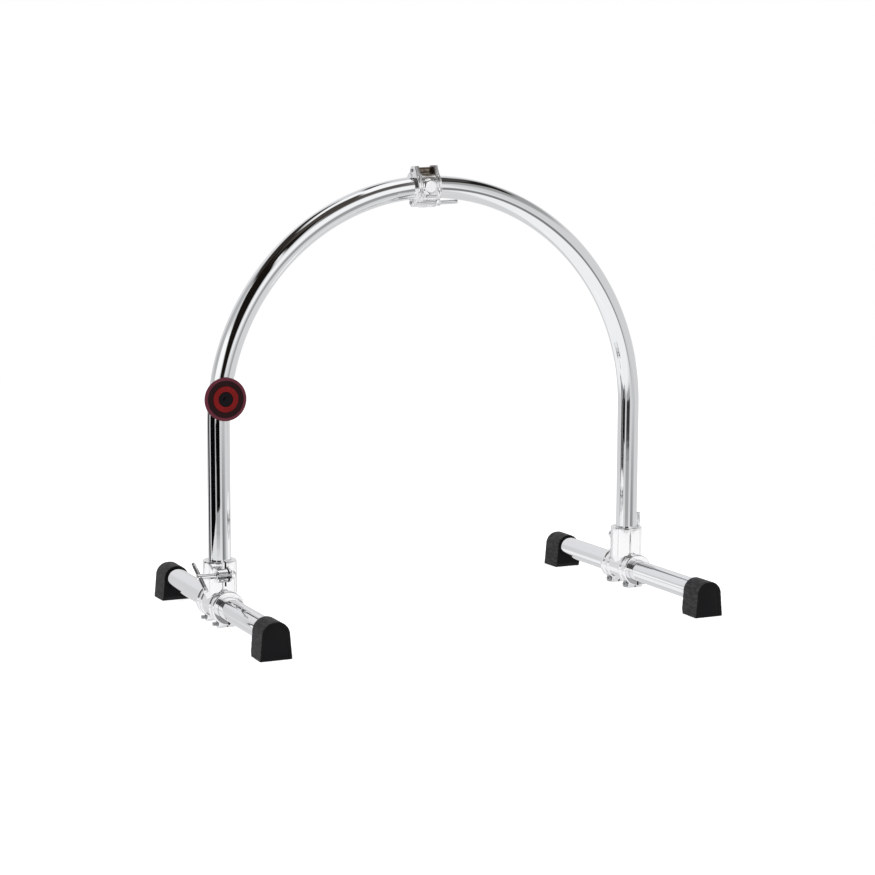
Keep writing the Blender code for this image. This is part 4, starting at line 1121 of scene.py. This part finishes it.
class AddSwingBolt(bpy.types.Operator):
    """Add the swing bolt with its T-nut, cross bar and washer"""

    bl_idname = "docking_frame.add_swing_bolt"
    bl_label = "Swing Bolt"

    def execute(self, context):
        crown, bolt = sizes("crown"), sizes("bolt")
        reach = crown.pin_behind + crown.lug_depth
        cover, chamfer, eye_edge = 0.0015, 0.0008, 0.0005
        blind = bolt.reach - bolt.bar - cover
        tip = reach + blind - 2 * FIT
        profile = [(0, tip), (bolt.shank - chamfer, tip)]
        profile += thread(bolt.shank, tip - chamfer, crown.pin_behind, bolt.pitch)
        profile += [(bolt.shank, 0), (0, 0)]
        shank = put(turned("crown_swing_bolt", profile), ALONG_Y)
        eye = bevelled(rod("eye", crown.eye, -crown.eye_half, crown.eye_half), eye_edge, 2)
        join(shank, put(eye, ALONG_TUBE))
        cut(shank, pin_hole(Matrix()))
        swing = crown_place() @ swing_place()
        hand_over(put(shank, swing), ZINC, "top_bolt", "top_swing_bolt")

        hole = bolt.shank + FIT
        nut = handle_profile() + [(hole, bolt.washer_thick + 2 * FIT), (hole, blind), (0, blind)]
        axis = swing @ at(0, -reach, 0) @ ALONG_Y
        spin = axis @ Matrix.Rotation(bolt.top_turn, 4, "Z")
        for made, kind, place, body in (
            (cross_hole(turned("nut", nut)), "t_nut", spin, "top_handle"),
            (t_bar(), "t_bar", spin, "top_handle"),
            (washer(), "t_washer", axis, "top_washer"),
        ):
            made.name = "crown_" + kind
            hand_over(put(made, place), CHROME, body, "top_" + kind)
        return {"FINISHED"}


def badge_leg():
    """The left leg at the badge's height: its place along X, and its lean."""
    tube, badge = sizes("tube"), sizes("badge")
    lean = math.asin((badge.height - tube.spring_line) / tube.arch_radius)
    return -tube.arch_radius * math.cos(lean), lean


class AddBadge(bpy.types.Operator):
    """Add the badge: its strap, disc, ring and rivet"""

    bl_idname = "docking_frame.add_badge"
    bl_label = "Badge"

    def execute(self, context):
        badge = sizes("badge")
        leg_x, lean = badge_leg()
        half = badge.strap_width / 2
        edge = 0.0006
        inner, outer = badge.strap_inner, badge.strap_outer
        band = [(inner, half), (outer - edge, half), (outer, half - edge)]
        strap = turned("strap", mirrored(band), TUBE_SIDES, closed=True)
        uv = strap.data.uv_layers.new(name="weave")
        for face in strap.data.polygons:
            middle = math.atan2(face.center.y, face.center.x)
            for loop in face.loop_indices:
                place = strap.data.vertices[strap.data.loops[loop].vertex_index].co
                around = math.atan2(place.y, place.x)
                around += math.tau * round((middle - around) / math.tau)
                uv.data[loop].uv = (around * outer, place.z)
        put(strap, at(leg_x, 0, badge.height) @ Matrix.Rotation(lean, 4, "Y"))
        strap.name = "badge_webbing"
        stem, head_radius, head_dome, head_rise = 0.002, 0.0045, 0.009, 0.0012
        hole = stem + FIT
        centre = at(leg_x + badge.offset, 0, badge.height) @ ALONG_Y
        cut(strap, put(rod("hole", hole, 0, badge.front * 2, PIN_SIDES), centre))
        hand_over(strap, WEBBING, "frame", "badge_strap")

        front, radius, back = badge.front, badge.radius, badge.front - badge.thick
        floor = front - badge.ring_depth
        ring_out, ring_in = badge.ring_outer + FIT, badge.ring_inner - FIT
        dish, lip, chamfer, slope, slope_end = front - 0.0005, radius - badge.rim, 0.0004, 0.0008, 0.0001
        disc = [(hole, front), (ring_in - 2 * FIT, front), (ring_in, front - chamfer), (ring_in, floor)]
        disc += [(ring_out, floor), (ring_out, dish), (lip, dish), (lip + slope, front - slope_end)]
        disc += rounded(radius, front, badge.edge, 85, 0, 6)
        disc += [(radius, back + chamfer), (radius - chamfer, back), (hole, back)]
        proud, seat = front + badge.ring_proud, floor + FIT
        ring = [(badge.ring_inner, proud - chamfer), (badge.ring_inner + chamfer, proud)]
        ring += [(badge.ring_outer - chamfer, proud), (badge.ring_outer, proud - chamfer)]
        ring += [(badge.ring_outer, seat), (badge.ring_inner, seat)]
        head, end = front + FIT, inner + FIT
        dome = arc((0, head + head_rise - head_dome), head_dome, 90, 60, 8)
        rivet = [point for point in dome if point[1] > head]
        rivet += [(head_radius, head), (stem, head), (stem, end), (0, end)]
        for profile, closed, name, finish, cad in (
            (disc, True, "badge_face", VINYL, "badge_disc"),
            (ring, True, "badge_band", RED_VINYL, "badge_ring"),
            (rivet, False, "badge_stud", NICKEL, "badge_rivet"),
        ):
            made = put(turned(name, profile, BADGE_SIDES, closed), centre)
            hand_over(made, finish, "frame", cad)
        return {"FINISHED"}


# Dark cards round the left leg: the tone, then azimuth and lower edge where each begins and ends. All stand
# equally far from the leg and have one top edge.
LEG_CARDS = [
    ("#3c3c3c", -145, 0.019, -118, 0.028),
    ("#0a0a0a", -105, 0.040, -53, 0.113),
    ("#0a0a0a", -41, 0.125, -8, 0.135),
]
CARDS_AWAY = 0.45
CARDS_TOP = 0.43
# Low white walls round both leg clamps: distance, height, glow and the azimuths between which they stand,
# with gaps for the base bars to slide and turn into
WALL_AWAY = 0.30
WALL_TOP = 0.0615
WALL_GLOW = 1.03
WALL_SPANS = ((-138, -93.8), (-86.2, -3.8), (3.8, 86.2), (93.8, 110))
WALL_STEPS = 8
UNSEEN_BY = ("camera", "diffuse", "transmission", "shadow", "volume_scatter")

# The lamps by name, place, power and size, where they point, and the floor and light round the object
LAMPS = (("key", (-2.2, -2.6, 3.2), 60, 2.4), ("fill", (2.8, -1.6, 2.4), 35, 2.4))
LAMPS_AIM = Vector((0, 0, 0.3))
FLOOR_SIZE = 8
FLOOR_GREY = 0.8
EVEN_LIGHT = 0.62
STUDIO_LIGHT = 1.12

# What the chrome sees of the studio, from the back layer to the front: a tone, then the middle, the half
# size and the tilt of a soft-edged part, and how soft it is, in degrees. Azimuth 0 is straight in front of
# the object, and + is right. Height 0 is level.
STUDIO = [
    ("#cfcfd0", (0, 0), (200, 100), 0, 1),
    ("#efeff0", (-60, -52), (100, 41), 0, 3),
    ("#d2d2d3", (110, -50), (80, 41), 0, 4),
    ("#fafafa", (0, 87), (200, 15), 0, 4),
    ("#fafafa", (66, 72), (57, 9), 0, 3),
    ("#dcdcde", (180, 29), (45, 16), 0, 5),
    ("#dcdcde", (-180, 29), (45, 16), 0, 5),
    ("#b0b0b1", (-120, 27), (24, 20), 0, 6),
    ("#fbfbfb", (-76, 16), (24, 10), 0, 4),
    ("#f4f4f4", (14, 13), (13, 15), 0, 3),
    ("#55514e", (17, 47), (21, 14), 0, 4),
    ("#45403c", (-30, 62), (38, 20), 0, 5),
    ("#2f2b29", (-118, 56), (55, 12), 0, 3),
    ("#161210", (-25, 25.5), (18, 26), 0, 3),
    ("#161210", (-54, 36), (26, 14), -37, 3),
    ("#e8e8e8", (-13, 29), (12, 1.6), -42, 1.5),
    ("#9a9a9a", (80, 40), (52, 10), 0, 5),
    ("#45423f", (86, 60), (42, 5), 0, 2),
    ("#1e1c1a", (76, 51.5), (42, 4.5), 0, 2),
    ("#1e1c1a", (98, 49), (24, 6), 0, 2),
    ("#2a2725", (162, 66), (7, 12), 0, 4),
    ("#9a9a9b", (36, -18), (9, 11), 0, 4),
    ("#7c7c7e", (20, -17), (9, 9), 0, 2.5),
    ("#1a1a1a", (-86, -7.4), (13, 1.7), 0, 0.7),
    ("#2a2a2a", (-30, -7), (18, 1.3), 0, 0.6),
    ("#a0a0a0", (-30, -9.2), (18, 1.2), 0, 0.6),
]


def around(middle_x, away, azimuth):
    way = math.radians(azimuth)
    return middle_x + away * math.sin(way), -away * math.cos(way)


def in_chrome_only(card, name, build):
    """Give a studio card its material, and leave it to glossy rays alone."""
    card.data.materials.append(material(name, build))
    for ray in UNSEEN_BY:
        setattr(card, "visible_" + ray, False)


def leg_card(tone, start, start_low, end, end_low):
    """A matt card at the front left that darkens the left leg."""
    outline = []
    for azimuth, height in ((start, start_low), (end, end_low), (end, CARDS_TOP), (start, CARDS_TOP)):
        outline.append((*around(-sizes("tube").arch_radius, CARDS_AWAY, azimuth), height))
    draw_outline("dark_card", outline)
    bpy.ops.mesh.edge_face_add()

    def felt(tree):
        surface(tree, {"Color": from_hex(tone)}, "BsdfDiffuse")

    in_chrome_only(close_up(), "studio felt " + tone[1:], felt)


def lit_paper(tree):
    """Paper that glows white in the chrome."""
    surface(tree, {"Color": grey(1.0), "Strength": WALL_GLOW}, "Emission")


def white_wall(middle_x, first, last):
    """A low lit wall beside a leg clamp that keeps the clamp white."""
    azimuths = [first + (last - first) * i / WALL_STEPS for i in range(WALL_STEPS + 1)]
    outline = [(*around(middle_x, WALL_AWAY, azimuth), 0) for azimuth in azimuths]
    draw_outline("white_wall", outline, closed=False)
    extrude((0, 0, WALL_TOP))
    in_chrome_only(close_up(), "lit studio paper", lit_paper)


def studio_floor(tree):
    """Matt white paper that shows white to the camera, and keeps a faint shadow."""
    path = node(tree, "LightPath")
    shown = node(tree, "Math", [path["Is Camera Ray"], path["Is Glossy Ray"]], operation="MAXIMUM")[0]
    shown = node(tree, "Math", [shown, path["Is Transmission Ray"]], operation="MAXIMUM")[0]
    paper = node(tree, "BsdfDiffuse", {"Color": grey(FLOOR_GREY)})[0]
    glow = node(tree, "Emission", {"Strength": shown, "Color": grey(EVEN_LIGHT)})[0]
    node(tree, "OutputMaterial", {"Surface": node(tree, "AddShader", [paper, glow])[0]})


def studio_part(tree, ways, behind, tone, middle, half, tilt, soft):
    """Lay one soft-edged part of the studio over what is behind it."""
    placed = {"Vector": ways, "Location": (*middle, 0), "Rotation": (0, 0, math.radians(tilt))}
    local = node(tree, "Mapping", placed, vector_type="TEXTURE")[0]
    away = node(tree, "VectorMath", [local], operation="ABSOLUTE")[0]
    inside = []
    for side, reach in zip(node(tree, "SeparateXYZ", [away]), half):
        limits = {"Value": side, "From Min": reach + soft, "From Max": reach - soft}
        inside.append(node(tree, "MapRange", limits, interpolation_type="SMOOTHSTEP")[0])
    inside = node(tree, "Math", inside, operation="MULTIPLY")[0]
    return node(tree, "Mix", {0: inside, 6: behind, 7: from_hex(tone)}, data_type="RGBA")[2]


def studio_air(tree):
    """Even white light for matt surfaces and the camera, and the studio's parts for glossy rays."""
    way = node(tree, "TexCoord")["Generated"]
    across, back, up = node(tree, "SeparateXYZ", [way])
    front = node(tree, "Math", [back, -1.0], operation="MULTIPLY")[0]
    azimuth = node(tree, "Math", [across, front], operation="ARCTAN2")[0]
    height = node(tree, "Math", [up], operation="ARCSINE")[0]
    ways = [node(tree, "Math", [way], operation="DEGREES")[0] for way in (azimuth, height)]
    ways = node(tree, "CombineXYZ", ways)[0]
    seen = node(tree, "RGB")[0]
    seen.default_value = grey(1.0)
    for part in STUDIO:
        seen = studio_part(tree, ways, seen, *part)
    path = node(tree, "LightPath")
    glossy = node(tree, "Background", {"Color": seen, "Strength": STUDIO_LIGHT})[0]
    even = node(tree, "Background", {"Color": grey(EVEN_LIGHT)})[0]
    white = node(tree, "Background", {"Color": grey(1.0)})[0]
    shown = node(tree, "Math", [path["Is Camera Ray"], path["Is Transmission Ray"]], operation="MAXIMUM")[0]
    matt = node(tree, "MixShader", [shown, even, white])[0]
    air = node(tree, "MixShader", [path["Is Glossy Ray"], matt, glossy])[0]
    node(tree, "OutputWorld", {"Surface": air})


class AddStage(bpy.types.Operator):
    """Add the floor, the cards, the light and the camera"""

    bl_idname = "docking_frame.add_stage"
    bl_label = "Stage"

    def execute(self, context):
        stage = sizes("stage")
        deselect()
        bpy.ops.object.camera_add(location=stage.camera_place)
        camera = context.object
        camera.name = "photo_camera"
        camera.data.sensor_width = SENSOR_WIDTH
        camera.data.lens = stage.lens
        camera.data.clip_end = 100
        camera.matrix_world = (
            Matrix.Translation(stage.camera_place)
            @ Matrix.Rotation(stage.yaw, 4, "Z")
            @ Matrix.Rotation(math.pi / 2 + stage.pitch, 4, "X")
            @ Matrix.Rotation(stage.roll, 4, "Z")
        )
        context.scene.camera = camera
        context.scene.view_settings.view_transform = "Standard"
        deselect()
        bpy.ops.mesh.primitive_plane_add(size=1, location=(0, 0, 0))
        floor = context.object
        floor.name = "studio_floor"
        floor.scale = (FLOOR_SIZE, FLOOR_SIZE, 1)
        put(floor)
        floor.data.materials.append(material("white studio floor", studio_floor))
        floor.visible_glossy = False
        for card in LEG_CARDS:
            leg_card(*card)
        for side in (-1, 1):
            for first, last in WALL_SPANS:
                white_wall(side * sizes("tube").arch_radius, first, last)
        world = bpy.data.worlds.new("studio")
        world.use_nodes = True
        world.node_tree.nodes.clear()
        studio_air(world.node_tree)
        context.scene.world = world
        for name, place, power, size in LAMPS:
            deselect()
            bpy.ops.object.light_add(type="AREA", location=place)
            lamp = context.object
            lamp.name = name
            lamp.data.energy = power
            lamp.data.size = size
            lamp.visible_glossy = False
            lamp.rotation_euler = (LAMPS_AIM - Vector(place)).to_track_quat("-Z", "Y").to_euler()
        return {"FINISHED"}


OPERATORS = [
    AddStage,
    AddArchTube,
    AddBaseBars,
    AddFeet,
    AddLegClamps,
    AddKeyBolts,
    AddLegTBolts,
    AddCrownClamp,
    AddSwingBolt,
    AddBadge,
]


class DockingFramePanel(bpy.types.Panel):
    """Buttons and sizes of the docking frame"""

    bl_idname = "VIEW3D_PT_docking_frame"
    bl_label = "Docking Frame"
    bl_space_type = "VIEW_3D"
    bl_region_type = "UI"
    bl_category = "Docking Frame"

    def draw(self, context):
        for operator in OPERATORS:
            self.layout.operator(operator.bl_idname)
        for name, group in GROUPS.items():
            box = self.layout.box()
            for prop in group.__annotations__:
                box.prop(getattr(context.scene, name), prop)


def register():
    for name, group in GROUPS.items():
        bpy.utils.register_class(group)
        setattr(bpy.types.Scene, name, PointerProperty(type=group))
    for operator in OPERATORS:
        bpy.utils.register_class(operator)
    bpy.utils.register_class(DockingFramePanel)


def unregister():
    bpy.utils.unregister_class(DockingFramePanel)
    for operator in reversed(OPERATORS):
        bpy.utils.unregister_class(operator)
    for name, group in reversed(GROUPS.items()):
        delattr(bpy.types.Scene, name)
        bpy.utils.unregister_class(group)


def main():
    register()
    for operator in OPERATORS:
        group, name = operator.bl_idname.split(".")
        getattr(getattr(bpy.ops, group), name)()
    bpy.context.view_layer.update()


if __name__ == "__main__":
    main()
